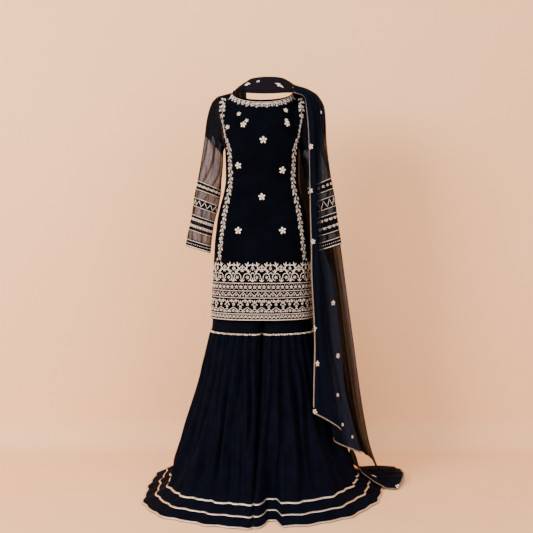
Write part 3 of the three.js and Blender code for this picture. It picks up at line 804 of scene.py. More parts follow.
# A band below the neckline: a corded edge, and flowers with leaves that point down
def sewNeckline(work):
    inside = (np.linspace(-0.655, 0.655, 120) + 1) / 2 * (kurti["columns"] - 1)
    work.line(np.full(120, 0.6), inside, 1.8)
    middle = 3
    pitch = 17
    lastColumn = (0.64 + 1) / 2 * (kurti["columns"] - 1)
    reach = np.interp(lastColumn, np.arange(kurti["columns"]), work.lengths[middle, :, 0])
    count = int(round(2 * reach / pitch))
    distance = np.linspace(-reach, reach, count)
    tilt = np.clip(distance / reach, -1, 1) * 34
    columns = work.columnAt(middle, distance)
    between = work.columnAt(middle, distance[:-1] + pitch / 2)
    for i, (column, angle) in enumerate(zip(columns, tilt)):
        size = 1.45 if i % 2 else 1.15
        work.stamp(motifs["flower"], [(2.6, column, angle, size)])
        work.stamp(motifs["sprout"], [(3.9 + 0.7 * (i % 2), column, angle + 180, 0.85)])
    for column, angle in zip(between, tilt):
        work.stamp(motifs["leaf"], [(0.9, column, angle + 180 + turn, 1.0) for turn in (-24, 24)])
        work.stamp(motifs["leaf"], [(3.2, column, angle + 180, 0.85)])


# Scattered flowers: place across, height, size in millimetres and turn.
frontFlowers = [
    (5.5, 1288, 27, 0),
    (-84.6, 1198, 26, 10),
    (76.5, 1180, 27, -8),
    (0.1, 1086, 27, 5),
    (-86.8, 962, 27, 0),
    (77.2, 962, 27, 12),
    (-83.9, 1385, 17, 20),
    (85.8, 1400, 18, 40),
    (-126.8, 1342, 17, 0),
    (-66.9, 1346, 23, 0),
    (-56, 1359, 15, 30),
    (94, 1348, 23, 15),
    (90.5, 1363, 15, 0),
]
backFlowers = [
    (0, 1300, 27, 0),
    (-80, 1195, 27, 10),
    (78, 1190, 27, 0),
    (0, 1085, 27, 20),
    (-84, 965, 27, 0),
    (80, 965, 27, 8),
    (-70, 1370, 20, 0),
    (70, 1370, 20, 0),
]


def sewFlowers(work, rows, frontmost=True):
    for x, h, size, turn in rows:
        row, column = work.nearest(x, h, frontmost)
        work.stamp(motifs["flower"], [(row, column, turn, size / 10)], lift=0.5)


def kurtiPiece(name, side, flowers):
    grid = kurtiGrid(side)
    panel = addCloth(name, grid, (0, 0), "velvet", kurti["thick"])
    work = SewnWork(grid, (0, 0))
    sewHem(work)
    for way in (-1, 1):
        sewSideBand(work, way, side < 0)
    sewNeckline(work)
    sewn = work.finish(name + "Embroidery", "embroidery")
    declare(sewn, [])
    field = SewnWork(grid, (0, 0))
    sewFlowers(field, flowers, side < 0)
    scattered = field.finish(name + "Flowers", "pearls")
    declare(scattered, [])
    node, other = ("kurti_front", "kurti_back") if side < 0 else ("kurti_back", "kurti_front")
    cut = dict(flat=kurti["cut"], area=kurti["cutArea"], held="hung", rests_on=[other])
    cut["with_pieces"] = [sewn, scattered]
    declare(panel, [node])


kurtiPiece("kurtiFront", -1, frontFlowers)
kurtiPiece("kurtiBack", 1, backFlowers)
print("kurti ready", flush=True)

# Sleeves: x and height of the outer edge, x and height of the inner one, then the middle's y and half depth

rightSleeve = [
    (166.5, 1462, 139.5, 1265, 0, 50),
    (189, 1434, 143, 1254, -1, 50),
    (205, 1376, 144, 1234, -3, 49),
    (215, 1300, 145, 1200, -6, 47),
    (230, 1204, 147, 1148, -10, 44),
    (240, 1142, 151, 1106, -13, 42),
    (253, 1083, 163, 1050, -16, 40),
    (263, 1015, 177, 985, -20, 38),
    (284, 905, 190, 877, -26, 36),
]
leftSleeve = [
    (166.5, 1462, 139.5, 1265, 0, 50),
    (192, 1434, 143, 1254, -1, 50),
    (212, 1376, 145, 1234, -3, 49),
    (227, 1300, 151, 1200, -6, 47),
    (248, 1208, 161, 1150, -8, 42),
    (260, 1150, 171, 1112, -9, 40),
    (272, 1083, 181, 1050, -11, 38),
    (282, 1015, 190, 985, -14, 37),
    (298, 912, 204, 882, -18, 36),
]
sleeve = {
    "end": len(rightSleeve) - 1,
    "rows": 129,
    "columns": 73,
    "zigzagTeeth": 13,
    "cut": (0.34, 0.6),
    "cutArea": 0.14,
    "capCut": (0.34, 0.17),
    "capCutArea": 0.03,
}
# Where the bands lie along each sleeve, in rows of its table, and the cuff's edging.
sleeveBands = {
    "right": {"flowers": (4.93, 5.44), "zigzag": (5.97, 6.45), "dense": (6.91, 7.46), "cuff": (7.77, 7.96)},
    "left": {"flowers": (4.9, 5.48), "zigzag": (5.86, 6.45), "dense": (6.8, 7.5), "cuff": (7.74, 7.96)},
}


# Soft folds round a tube, in millimetres.
def rumple(along, turn, size, seed):
    draws = np.random.default_rng(seed)
    total = 0 * turn
    for waves in range(1, 6):
        for _ in range(2):
            drift, start = draws.uniform(-2.4, 2.4), draws.uniform(0, 6.3)
            total = total + np.sin(waves * turn + drift * along + start) / waves**0.7
    return size * total / 3


def sleeveGrid(table, side, s, inset, folds, seed):
    row = smoothAlong(np.arange(len(table)), np.array(table, float), s)
    outX, outH, inX, inH, y, deep = (row[:, i][:, None] for i in range(6))
    turn = (np.pi / 2 + np.linspace(0, 2 * np.pi, sleeve["columns"]))[None]
    free = np.clip(s / 1.2, 0, 1)[:, None] * (1 - 0.75 * np.clip((s - 7.4) / 0.6, 0, 1)[:, None])
    wave = rumple(s[:, None], turn, folds, seed) * free
    half = np.hypot(outX - inX, outH - inH) / 2
    longer = 1 + (wave - inset) / half
    x = (outX + inX) / 2 + (outX - inX) / 2 * np.cos(turn) * longer
    h = (outH + inH) / 2 + (outH - inH) / 2 * np.cos(turn) * longer
    depth = y + (deep - inset + wave) * np.sin(turn)
    return np.stack([side * x, depth, h], axis=2), turn, wave


def sleeveRow(s):
    return s / sleeve["end"] * (sleeve["rows"] - 1)


def sewRound(work, s, width):
    columns = np.linspace(0, sleeve["columns"] - 1, 2 * sleeve["columns"])
    work.line(np.full(len(columns), sleeveRow(s)), columns, width, height=0.8)


def sewRoundRow(work, s, pitch, motif, scale, angle=0.0, shift=0.0):
    row = sleeveRow(s)
    girth = 2 * work.halfWidth(row)
    count = int(round(girth / pitch))
    distance = ((np.arange(count) + shift) / count - 0.5) * girth
    columns = work.columnAt(row, distance)
    work.stamp(motifs[motif], [(row, c, angle, scale) for c in columns], lift=0.3)


def sewSleeve(work, bands):
    top, end = bands["flowers"]
    middle = (top + end) / 2
    for s in (top, end):
        sewRound(work, s, 2.0)
    sewRoundRow(work, middle, 18, "flower", 1.15)
    sewRoundRow(work, middle, 18, "leaf", 0.8, 70, 0.36)
    sewRoundRow(work, middle, 18, "leaf", 0.8, -110, 0.64)
    top, end = bands["zigzag"]
    for s in (top, end):
        sewRound(work, s, 2.0)
    teeth = sleeve["zigzagTeeth"]
    columns = np.linspace(0, sleeve["columns"] - 1, 8 * teeth + 1)
    phase = np.abs(np.linspace(0, 2 * teeth, 8 * teeth + 1) % 2 - 1)
    work.line(sleeveRow(top + 0.08 + (end - top - 0.16) * phase), columns, 1.9)
    top, end = bands["dense"]
    for s in (top, end):
        sewRound(work, s, 2.0)
    for part, shift in ((0.3, 0.0), (0.72, 0.5)):
        s = top + (end - top) * part
        sewRoundRow(work, s, 19, "flower", 1.15, 15, shift)
        for angle in (50, -50, 130, -130):
            sewRoundRow(work, s, 19, "leaf", 0.75, angle, shift + 0.5 - angle / 900)
    top, end = bands["cuff"]
    for s, width in ((top, 2.2), (end, 3.2)):
        sewRound(work, s, width)
    sewRoundRow(work, (top + end) / 2, 8, "bead", 1.9, 0, 0.5)


def sleevePieces(name, side, table, seed):
    s = np.linspace(0, sleeve["end"], sleeve["rows"])
    grid, turn, wave = sleeveGrid(table, side, s, 0.4, 2.6, seed)
    # Painted shade: the cover, and with it the net's darkness, rises at the tube's two sides, in its inward
    # folds (where the net also lies doubled) and along streaks of fold shade down the sleeve.
    edge = np.abs(np.cos(turn)) ** 10
    doubled = np.clip((-wave - 0.4) / 2.4, 0, 1)
    drift = turn + 0.5 * np.sin(0.9 * s[:, None] + side)
    foldShadeStreaks = np.abs(np.sin(4 * drift)) ** 14 + 0.6 * np.abs(np.sin(7 * drift + 1.3 * s[:, None])) ** 20
    nearCuff = np.clip((s - 7.75) / 0.1, 0, 1)[:, None]
    cover = 0.15 + 0.6 * edge + 0.45 * doubled + 0.35 * foldShadeStreaks + 0.25 * nearCuff
    capEnd = 1244 + 1.06 * (side * grid[..., 0] - 146)
    cover = cover + 0.3 * smoothstep(grid[..., 2] - capEnd, -4, 5)
    for top, end in sleeveBands[name].values():
        lined = smoothstep(s, top - 0.03, top) * smoothstep(-s, -end - 0.03, -end)
        cover = cover + 0.5 * lined[:, None]
    centre = (side * 205, -10)
    tube = addCloth(f"sleeve{name.title()}", grid, centre, f"sleeveNet{name.title()}", cover=cover)
    capRows = [*table[:3], (212, 1314, 146, 1244, -5, 47)]
    capGrid, turn, wave = sleeveGrid(capRows, side, np.linspace(0, 3, 49), 2.6, 1.2, seed + 1)
    # Painted shade: the cap's net is denser and darker at its two sides and in its inward folds.
    capCover = 0.3 + 0.45 * np.abs(np.cos(turn)) ** 8 + 0.3 * np.clip(-wave / 2, 0, 1)
    cap = addCloth(f"sleeveCap{name.title()}", capGrid, centre, f"sleeveNet{name.title()}", cover=capCover)
    work = SewnWork(grid, centre)
    sewSleeve(work, sleeveBands[name])
    sewn = work.finish(f"sleeveBands{name.title()}", "embroidery")
    declare(sewn, [])
    rests = ["kurti_front", "kurti_back"]
    cut = dict(flat=sleeve["cut"], area=sleeve["cutArea"], held="hung", rests_on=rests)
    cut["with_pieces"] = [sewn]
    declare(tube, [f"sleeve_{name}"])
    declare(cap, [f"sleeve_cap_{name}"])


sleevePieces("right", -1, rightSleeve, 11)
sleevePieces("left", 1, leftSleeve, 23)
print("sleeves ready", flush=True)

# Gharara: each leg is a tube with a flat inner side, gathered from the knee seam down

# A thigh's sections: height, half width, depth in front and behind, half the gap between the legs, the inner
# corners' rounding, and whether the two legs are still joined there.
thighTable = [
    (1088, 139.5, 82, 86, 0.3, 0, 1),
    (1015, 149, 94, 108, 0.3, 0, 1),
    (940, 163, 101, 120, 0.3, 0, 1),
    (862, 169, 106, 124, 3, 12, 0),
    (740, 174, 113, 126, 4, 24, 0),
    (592, 187, 122, 128, 5, 32, 0),
]
flareTable = namedRows(
    "h wide front back gap round fold drift",
    [
        (591.4, 188, 123, 129, 2.5, 32, 3.5, 0),
        (584, 190, 125, 131, 2.5, 32, 4, 0),
        (490, 208, 152, 160, 3, 36, 7, -3),
        (367, 234, 193, 203, 3.5, 40, 11, -8),
        (225, 276, 248, 260, 2.5, 36, 14, -16),
        (110, 322, 300, 314, 1.5, 22, 14, -23),
        (53, 345, 330, 342, 1.2, 14, 10, -26),
        (47, 351, 337, 349, 1.2, 14, 9.5, -26),
        (27, 384, 371, 379, 1.2, 14, 8, -27),
        (23, 391, 378, 386, 1.2, 14, 8, -27),
        (6, 431, 413, 419, 1.2, 14, 8, -28),
        (2.5, 438, 419, 425, 1.2, 14, 8, -28),
    ],
)
gharara = {
    "waist": 1088,
    "knee": 591.4,
    "hem": 2.5,
    "gathers": 26,  # of one leg, all round
    "thick": 0.8,
    "columns": 8,  # of the grid, for each half gather
    "creaseBands": 12,
    "thighCut": (0.32, 0.52),
    "thighCutArea": 0.15,
    "flareCut": (1.1, 0.66),
    "flareCutArea": 0.5,
    "waistCut": (0.03, 0.95),
}
legPoints = 2 * gharara["gathers"]
quarter = np.linspace(0, np.pi / 2, 61)


# A quarter of a leg's outline, from its outer side to its rounded inner corner. Face 1 is the back.
def quarterOutline(side, face, wide, deep, inner, rounding):
    x = inner + (side * wide - inner) * np.cos(quarter)
    corner = np.maximum(0, rounding - np.abs(x - inner))
    step = rounding - np.sqrt(rounding**2 - corner**2)
    return np.column_stack([x, face * (deep * np.sin(quarter) ** 0.9 - step)])


# The legs' inner walls curve the same way, so that no light shows between them
def closeLegs(grid, depth):
    beside = 1 - smoothstep(depth, 0, 90)
    curve = np.cos(np.clip(grid[..., 1] / 115, -1, 1) * np.pi / 2) ** 2
    grid[..., 0] += 24 * beside * curve * smoothstep(-grid[..., 2], -930, -850)
    return grid


# Points at even steps along a path, both ends included.
def alongPath(path, count):
    steps = np.concatenate([[0], np.cumsum(np.linalg.norm(np.diff(path, axis=0), axis=1))])
    at = np.linspace(0, steps[-1], count)
    return np.column_stack([np.interp(at, steps, path[:, k]) for k in range(path.shape[1])])


def thighGrid(side, face, columns=57, rows=90):
    table = sorted(thighTable)
    known = []
    for h, wide, front, back, gap, rounding, joinedAbove in table:
        path = quarterOutline(side, face, wide, front if face < 0 else back, side * gap, rounding)
        path[0, 1] = face * seam
        if not joinedAbove:
            path = np.vstack([path, [side * gap, face * seam]])
        known.append(alongPath(path, columns))
    heights = np.array([row[0] for row in table], float)
    h = np.linspace(gharara["waist"], gharara["knee"] + 1, rows)
    flat = smoothAlong(heights, np.array(known), h)
    grid = np.concatenate([flat, np.broadcast_to(h[:, None, None], flat.shape[:2] + (1,))], axis=2)
    pull = np.exp(-(h - gharara["knee"] - 0.6) / 45)[:, None]
    across = np.linspace(0, 1, columns)[None]
    tucks = pull * 1.2 * np.sin(across * 95) * np.sin(np.pi * across).clip(0, 0.4) * 2.5
    grid += tucks[..., None] * normalsOf(grid, (side * 85, 0))
    return closeLegs(grid, side * grid[..., 0])


# Heights between the folds' peaks and valleys: broad rounded crests and sharper creases.
def foldShape(t, peaks):
    low = np.floor(t).astype(int)
    share = t - low
    first, second = peaks[..., low % legPoints], peaks[..., (low + 1) % legPoints]
    ease = (1 - np.cos(np.pi * share)) / 2
    rising = second > first
    ease = np.where(rising, ease**0.62, 1 - (1 - ease) ** 0.62)
    return first + (second - first) * ease


creaseDraws = np.random.default_rng(31)
creasePhase = creaseDraws.uniform(0, 6.3, (2, gharara["creaseBands"]))
creaseReach = creaseDraws.uniform(0.5, 1.0, (2, gharara["creaseBands"]))


# The smooth outline of a leg at each height, and which way its folds stand out from it.
def legOutline(side, row, t):
    base = np.zeros((len(row["wide"]), len(t), 2))
    across = np.zeros_like(base)
    for i in range(len(base)):
        inner = side * row["gap"][i] + row["drift"][i]
        front = quarterOutline(side, -1, row["wide"][i], row["front"][i], inner, row["round"][i])
        back = quarterOutline(side, 1, row["wide"][i], row["back"][i], inner, row["round"][i])[::-1]
        path = np.vstack([front, back])
        steps = np.concatenate([[0], np.cumsum(np.linalg.norm(np.diff(path, axis=0), axis=1))])
        steps *= legPoints / steps[-1]
        here, ahead, behind = (
            np.column_stack([np.interp(at, steps, path[:, k]) for k in (0, 1)])
            for at in (t, (t + 1) % legPoints, (t - 1) % legPoints)
        )
        base[i] = here
        turn = ahead - behind
        sideways = np.column_stack([turn[:, 1], -turn[:, 0]])
        across[i] = sideways / np.linalg.norm(sideways, axis=1, keepdims=True)
    return base, across


# The gathers: how high the cloth stands at each point, from -1 in a crease to 1 on a crest.
def gatherHeights(leg, h, t):
    fade = 1 - 0.7 * smoothstep(-h, -490, -110)
    number = np.arange(legPoints)
    main = np.where(number % 2 == 1, -1.0, 1.0)
    peaks = np.where((number % 4 == 2)[None], 2 * fade - 1, main[None])
    wander = 0.28 * np.sin(h / 95 + t[None] * 0.9 + leg)
    wander = wander * smoothstep(-h, -560, -380) * smoothstep(h, 12, 90)
    return np.stack([foldShape((t + w) % legPoints, p) for w, p in zip(wander, peaks)])


# Small puckers below the knee seam, in millimetres.
def puckersOf(h, t):
    near = np.exp(-(gharara["knee"] - h) / 70)
    puckers = 3.0 * near * np.sin(2 * np.pi * t[None] * 1.5 + 1.3 * np.sin(t[None] * 0.7))
    far = np.exp(-(gharara["knee"] - h) / 190)
    return puckers + 1.3 * far * np.sin(2 * np.pi * t[None] * 2.0 + h / 60)


# Soft creases in bands, one below another.
def creasesOf(leg, h, around):
    creases = np.zeros((len(h), around.shape[1]))
    for n in range(gharara["creaseBands"]):
        waves = 17 + 3 * n
        middle = 430 - 26 * n
        band = np.exp(-(((h - middle) / 110) ** 2))
        drift = creasePhase[leg, n] + h / (120 + 9 * n)
        creases += creaseReach[leg, n] * band * np.sin(waves * around + drift)
    return creases


# A leg below the knee seam, seen all round from its outer side: rows at the given heights.
def flareGrid(side, heights):
    leg = 0 if side < 0 else 1
    row = tableAt(flareTable, heights)
    t = np.arange(0, legPoints + 1e-9, 1 / gharara["columns"])
    base, across = legOutline(side, row, t)
    h = np.asarray(heights, float)[:, None]
    depth = side * (base[..., 0] - row["drift"][:, None]) - row["gap"][:, None]
    flat = smoothstep(depth, 2, 30)
    share = 0.12 + 0.88 * flat
    low = np.clip((225 - h) / 225, 0, 1) * flat
    around = 2 * np.pi * t[None] / legPoints
    swing = 9 * np.sin(3 * around + side * 0.7) + 7 * np.sin(5 * around + side * 2.1)
    # The left hem draws back in front, near the middle.
    dip = 60 * (1 - smoothstep(base[..., 0], 62, 70)) * (base[..., 1] < 0) * (side > 0)
    calm = 1 - 0.4 * smoothstep(-h, -130, -50)
    reach = row["fold"][:, None] * share * gatherHeights(leg, h, t) * calm + low * (swing - dip)
    reach = reach + share * (puckersOf(h, t) + 2.6 * creasesOf(leg, h, around))
    moved = base - side * reach[..., None] * across
    grid = np.concatenate([moved, np.broadcast_to(h[..., None], moved.shape[:2] + (1,))], axis=2)
    return closeLegs(grid, depth)


# Between which heights each ribbon lies.
ribbonBands = {"Knee": (591.2, 585.5), "Upper": (52.5, 48), "Middle": (26.5, 23.5), "Hem": (5.5, 2.6)}


# A ribbon's grid: raised clear of the flare between two heights.
def ribbonStrip(side, high, low):
    margin = 1.5
    heights = np.array([high + margin, high, (high + low) / 2, low, low - margin])
    # Heights that the clip makes alike are told apart by a hair.
    heights = np.clip(heights, gharara["hem"], gharara["knee"]) - 0.001 * np.arange(5)
    grid = flareGrid(side, heights)
    normal = normalsOf(grid, (side * 200, 0))
    return (grid + 1.5 * normal)[1:4]


hemHeights = [53, 50, 47, 42, 37, 32, 27, 25, 23, 18, 12, 6, 4, gharara["hem"]]
kneeHeights = np.linspace(gharara["knee"], 575, 7)
flareHeights = np.concatenate([kneeHeights, np.linspace(568, 60, 70), hemHeights])


def legPieces(name, side):
    centre = (side * 200, 0)
    title = name.title()
    for face, faceName in ((-1, "front"), (1, "back")):
        grid = thighGrid(side, face)
        thighName = f"thigh{title}{faceName.title()}"
        thigh = addCloth(thighName, grid, (side * 85, 0), "georgette", gharara["thick"])
        cut = dict(flat=gharara["thighCut"], area=gharara["thighCutArea"], held="hung")
        cut["rests_on"] = ["waistband"]
        declare(thigh, [f"thigh_{name}_{faceName}"])
    ribbons = []
    for ribbon, (high, low) in ribbonBands.items():
        strip = addCloth(f"ribbon{ribbon}{title}", ribbonStrip(side, high, low), centre, "gota", 0.7)
        declare(strip, [f"ribbon_{ribbon.lower()}_{name}"])
        ribbons.append(strip)
    leg = flareGrid(side, flareHeights)
    half = gharara["gathers"] * gharara["columns"]
    for start, faceName in ((0, "front"), (half, "back")):
        grid = leg[:, start : start + half + 1]
        flareName = f"flare{title}{faceName.title()}"
        flare = addCloth(flareName, grid, centre, "georgette", gharara["thick"])
        cut = dict(flat=gharara["flareCut"], area=gharara["flareCutArea"], held="gathered")
        cut["rests_on"] = [f"thigh_{name}_{faceName}"]
        if faceName == "front":
            cut["with_pieces"] = ribbons
        declare(flare, [f"flare_{name}_{faceName}"])


legPieces("right", -1)
legPieces("left", 1)


# The waistband's casing, with the small puckers that its elastic draws up.
def waistbandGrid():
    wide = 137.5
    top, low = 1118, gharara["waist"] + 0.6
    puckerReach = 0.9
    turn = np.linspace(0, 2 * np.pi, 361)[None]
    h = np.linspace(top, low, 9)[:, None]
    gather = puckerReach * np.sin(60 * turn) * np.sin(np.pi * (top - h) / (top - low))
    deep = np.where(np.sin(turn) < 0, 83, 86) - puckerReach
    x = (wide + gather) * np.cos(turn)
    y = (deep + gather) * np.sign(np.sin(turn)) * np.abs(np.sin(turn)) ** 0.9
    return np.stack([x + 0 * h, y + 0 * h, h + 0 * turn], axis=2)


waist = addCloth("waistbandCasing", waistbandGrid(), (0, 0), "georgette", 2.4)
declare(waist, ["waistband"])
print("gharara ready", flush=True)

# Dupatta: each row of a stretch is a section across the cloth through four points of x, y and height

frontFall = [
    ((118, -64, 1466), (118, -50, 1484), (118, -30, 1498), (118, -0.3, 1508)),
    ((154, -70, 1450), (163, -58, 1467), (171, -38, 1479), (181, -0.3, 1485)),
    ((161, -82, 1408), (181, -80, 1424), (188, -60, 1438), (214, -0.3, 1460)),
    ((167, -90, 1338), (192, -92, 1356), (194, -72, 1370), (236, -0.3, 1408)),
    ((170, -95, 1254), (194, -97, 1262), (190, -78, 1274), (223, -60, 1304)),
    ((172, -98, 1150), (197, -98, 1150), (188, -80, 1155), (216, -70, 1165)),
    ((174, -100, 1020), (199, -99, 1020), (188, -84, 1020), (217, -72, 1020)),
    ((177, -108, 900), (202, -105, 900), (189, -90, 900), (224, -76, 900)),
    ((178, -120, 790), (207, -114, 790), (192, -98, 790), (264, -48, 790)),
    ((187, -140, 583), (215, -132, 575), (200, -114, 568), (292, -30, 560)),
    ((183, -165, 433), (245, -155, 400), (226, -138, 385), (309, -35, 370)),
    ((180, -190, 324), (276, -172, 262), (253, -155, 218), (363, -60, 144)),
]
backFall = [
    ((118, 0.3, 1508), (118, 24, 1503), (118, 44, 1491), (118, 62, 1474)),
    ((181, 0.3, 1485), (178, 34, 1479), (169, 58, 1464), (156, 78, 1446)),
    ((214, 0.3, 1460), (208, 42, 1446), (190, 72, 1424), (146, 96, 1400)),
    ((236, 0.3, 1408), (232, 50, 1386), (206, 82, 1356), (134, 108, 1330)),
    ((247, 54, 1290), (228, 78, 1270), (202, 90, 1252), (130, 112, 1236)),
    ((264, 52, 1150), (238, 82, 1144), (206, 90, 1136), (131, 115, 1130)),
    ((283, 48, 1020), (252, 84, 1014), (216, 94, 1006), (143, 126, 1000)),
    ((299, 44, 900), (264, 86, 894), (226, 104, 886), (160, 142, 880)),
    ((312, 40, 800), (278, 90, 788), (236, 112, 780), (177, 150, 776)),
    ((325, 36, 700), (290, 98, 684), (244, 124, 672), (180, 163, 660)),
    ((347, 32, 535), (308, 116, 535), (258, 150, 535), (194, 188, 535)),
    ((366, 30, 390), (330, 142, 390), (278, 190, 390), (222, 220, 390)),
    ((384, 30, 271), (352, 170, 271), (304, 224, 271), (245, 258, 271)),
    ((406, 32, 160), (380, 190, 160), (334, 250, 160), (285, 288, 160)),
    ((428, 34, 92), (406, 200, 92), (368, 262, 92), (325, 302, 92)),
    ((444, 32, 54), (424, 200, 58), (390, 262, 62), (348, 304, 66)),
]
neckStretch = [
    ((-108, -0.3, 1483), (-92, -0.3, 1490), (-77, -0.3, 1498), (-62, -0.3, 1506)),
    ((-100, -45, 1474), (-88, -47, 1488), (-74, -40, 1501), (-58, -28, 1513)),
    ((-62, -80, 1463), (-56, -80, 1484), (-46, -68, 1504), (-34, -50, 1522)),
    ((14, -93, 1458), (15, -90, 1482), (17, -78, 1505), (20, -60, 1526)),
    ((80, -84, 1462), (80, -80, 1483), (79, -66, 1504), (78, -46, 1523)),
    ((117.4, -64, 1466), (117.4, -50, 1484), (117.4, -30, 1498), (117.4, -0.3, 1508)),
]
backEnd = [
    ((-108, 0.3, 1483), (-92, 0.3, 1490), (-77, 0.3, 1498), (-62, 0.3, 1506)),
    ((-114, 38, 1474), (-98, 44, 1482), (-80, 46, 1488), (-60, 44, 1492)),
    ((-118, 59.5, 1440), (-100, 69.5, 1444), (-80, 75.5, 1446), (-58, 77.5, 1446)),
    ((-122, 69.5, 1370), (-102, 81.5, 1368), (-80, 91.5, 1366), (-56, 99.5, 1364)),
    ((-126, 69.5, 1250), (-102, 83.5, 1250), (-80, 92.5, 1250), (-52, 101.5, 1250)),
    ((-130, 73.5, 1120), (-104, 85.5, 1120), (-78, 94.5, 1120), (-46, 103.5, 1120)),
    ((-134, 95.5, 1010), (-106, 111.5, 1010), (-76, 121.5, 1010), (-40, 129.5, 1010)),
]
# The tail from the falls to its tip: x and y of its front edge and of its rear edge, and how far it bulges.
tailTable = [
    (338, -22, 338, 222, 0),
    (360, -4, 372, 232, 2),
    (384, 2, 410, 238, 5),
    (421, -15, 450, 240, 10),
    (462, -28, 490, 236, 18),
    (503, -34, 530, 222, 32),
]


# A stretch of the dupatta: smooth sections with soft pleats that run along the cloth.
def stretchGrid(table, rows, columns, pleats, size, seed):
    points = np.array(table, float)
    known = np.arange(len(points))
    down = smoothAlong(known, points, np.linspace(0, len(points) - 1, rows))
    share = np.linspace(0, 1, columns)
    sections = smoothAlong(np.arange(4) / 3, down.transpose(1, 0, 2), share).transpose(1, 0, 2)
    tangent = np.gradient(sections, axis=1)
    beside = np.stack([-tangent[..., 1], tangent[..., 0]], axis=2)
    beside /= np.maximum(np.linalg.norm(beside, axis=2, keepdims=True), 1e-6)
    draws = np.random.default_rng(seed)
    v = np.linspace(0, 1, rows)[:, None]
    t = share[None]
    sway = 0.05 * np.sin(5 * v + draws.uniform(0, 6)) + 0.02 * np.sin(17 * v + draws.uniform(0, 6))
    wave = np.sin(2 * np.pi * (pleats * t + sway * 3))
    wave = wave + 0.5 * np.sin(2 * np.pi * (2.3 * pleats * t + 0.4 * v + sway))
    wave = wave + 0.22 * np.sin(2 * np.pi * (5.1 * pleats * t - 0.3 * v))
    hold = np.sin(np.pi * np.clip(v * 14, 0, 0.5)) * np.sin(np.pi * np.clip(t * 9, 0, 0.5))
    wave = wave * hold * np.sin(np.pi * np.clip((1 - t) * 9, 0, 0.5))
    grid = sections.copy()
    grid[..., :2] += size * (wave / 1.3)[..., None] * beside
    return grid, t + 0 * v, v + 0 * t, wave


# Fine pleats along a fall, where the net lies doubled
def pleatLines(t, v):
    drift = 0.5 * np.sin(3.1 * v) + 0.25 * np.sin(8.3 * v + 2)
    broad = np.abs(np.sin(np.pi * (7 * t + drift))) ** 12
    return 0.3 * broad + 0.22 * np.abs(np.sin(np.pi * (16 * t - 1.7 * drift + 0.3))) ** 16


# Where the top of the left leg's hem lies, for the tail to rest on it.
def hemTop(x, y):
    heights = np.linspace(gharara["hem"], gharara["knee"], 240)
    row = tableAt(flareTable, heights)
    swing = np.where(heights < 225, 16.0, 0.0)
    reach = row["fold"] + swing
    deep = np.where((y < 0)[..., None], row["front"], row["back"]) + reach
    share = np.hypot(x[..., None] / (row["wide"] + reach), y[..., None] / deep)
    return np.where(share <= 1, heights, 0).max(axis=-1)


def tailGrid(rows=70, columns=61):
    known = np.array(tailTable, float)
    place = np.linspace(0, len(known) - 1, rows)
    row = smoothAlong(np.arange(len(known)), known, place)
    frontX, frontY, rearX, rearY, bulge = (row[:, k][:, None] for k in range(5))
    t = np.linspace(0, 1, columns)[None]
    arch = np.sin(np.pi * t)
    x = frontX + (rearX - frontX) * t + bulge * arch
    y = frontY + (rearY - frontY) * t + 0 * x
    step = place[:, None]
    ripple = np.sin(2 * np.pi * (4.5 * t + 0.16 * np.sin(step * 1.1))) * 0.5 + 0.5
    small = np.sin(2 * np.pi * (11 * t - 0.1 * step)) * 0.5 + 0.5
    hem = hemTop(x, y)
    for _ in range(6):
        hem[1:-1] = np.maximum(hem[1:-1], (hem[:-2] + hem[2:]) / 2)
    puff = 22 * arch * step / len(known) * 0.8 + 5 * ripple + 2.5 * small
    height = np.maximum(hem + 2 + 3 * ripple + small, 3 + puff)
    return np.stack([x, y, height], axis=2), t + 0 * step, step + 0 * t, ripple


# One stretch of the dupatta with the flowers sewn on it and its edging.
def dupattaPiece(name, node, grid, centre, cover, spots, cut, edgings=(), look="dupattaNet"):
    sheet = addCloth(name, grid, centre, look, cover=cover)
    extra = list(edgings)
    if spots:
        work = SewnWork(grid, centre)
        for x, h, size, turn in spots:
            row, column = work.nearest(x, h)
            work.stamp(motifs["flower" if size > 9 else "bead"], [(row, column, turn, size / 10)], lift=0.4)
        sewn = work.finish(name + "Flowers", "pearls")
        declare(sewn, [])
        extra.append(sewn)
    if extra:
        cut["with_pieces"] = extra
    declare(sheet, [node])


# A narrow sequinned band with two rows of small beads along it.
def edgingPiece(name, node, strip, centre):
    normal = normalsOf(strip, centre)
    band = addCloth(name, strip + 0.9 * normal, centre, "edging", 0.6)
    work = SewnWork(strip + 0.9 * normal, centre)
    middle = (strip.shape[1] - 1) / 2
    length = lengthsOf(strip)[:, 0, 1]
    rows = np.interp(np.arange(3, length[-1] - 2, 5.0), length, np.arange(len(length)))
    for offset in (-0.28, 0.28):
        column = middle + offset * (strip.shape[1] - 1)
        work.stamp(motifs["bead"], [(r, column, 0, 1.0) for r in rows], lift=0.0)
    sewn = work.finish(name + "Beads", "edging")
    declare(sewn, [])
    declare(band, [node])
    return [band, sewn]


# The strip of a grid that lies within a width of its first column or its last row.
def edgeStrip(grid, width, which):
    if which == "last row":
        grid = grid[::-1].transpose(1, 0, 2)
    steps = np.linalg.norm(np.diff(grid, axis=1), axis=2)
    far = np.concatenate([np.zeros((len(grid), 1)), np.cumsum(steps, axis=1)], axis=1)
    at = np.linspace(0, width, 4)
    strip = np.zeros((len(grid), 4, 3))
    for i, k in np.ndindex(len(grid), 3):
        strip[i, :, k] = np.interp(at, far[i], grid[i, :, k])
    return strip


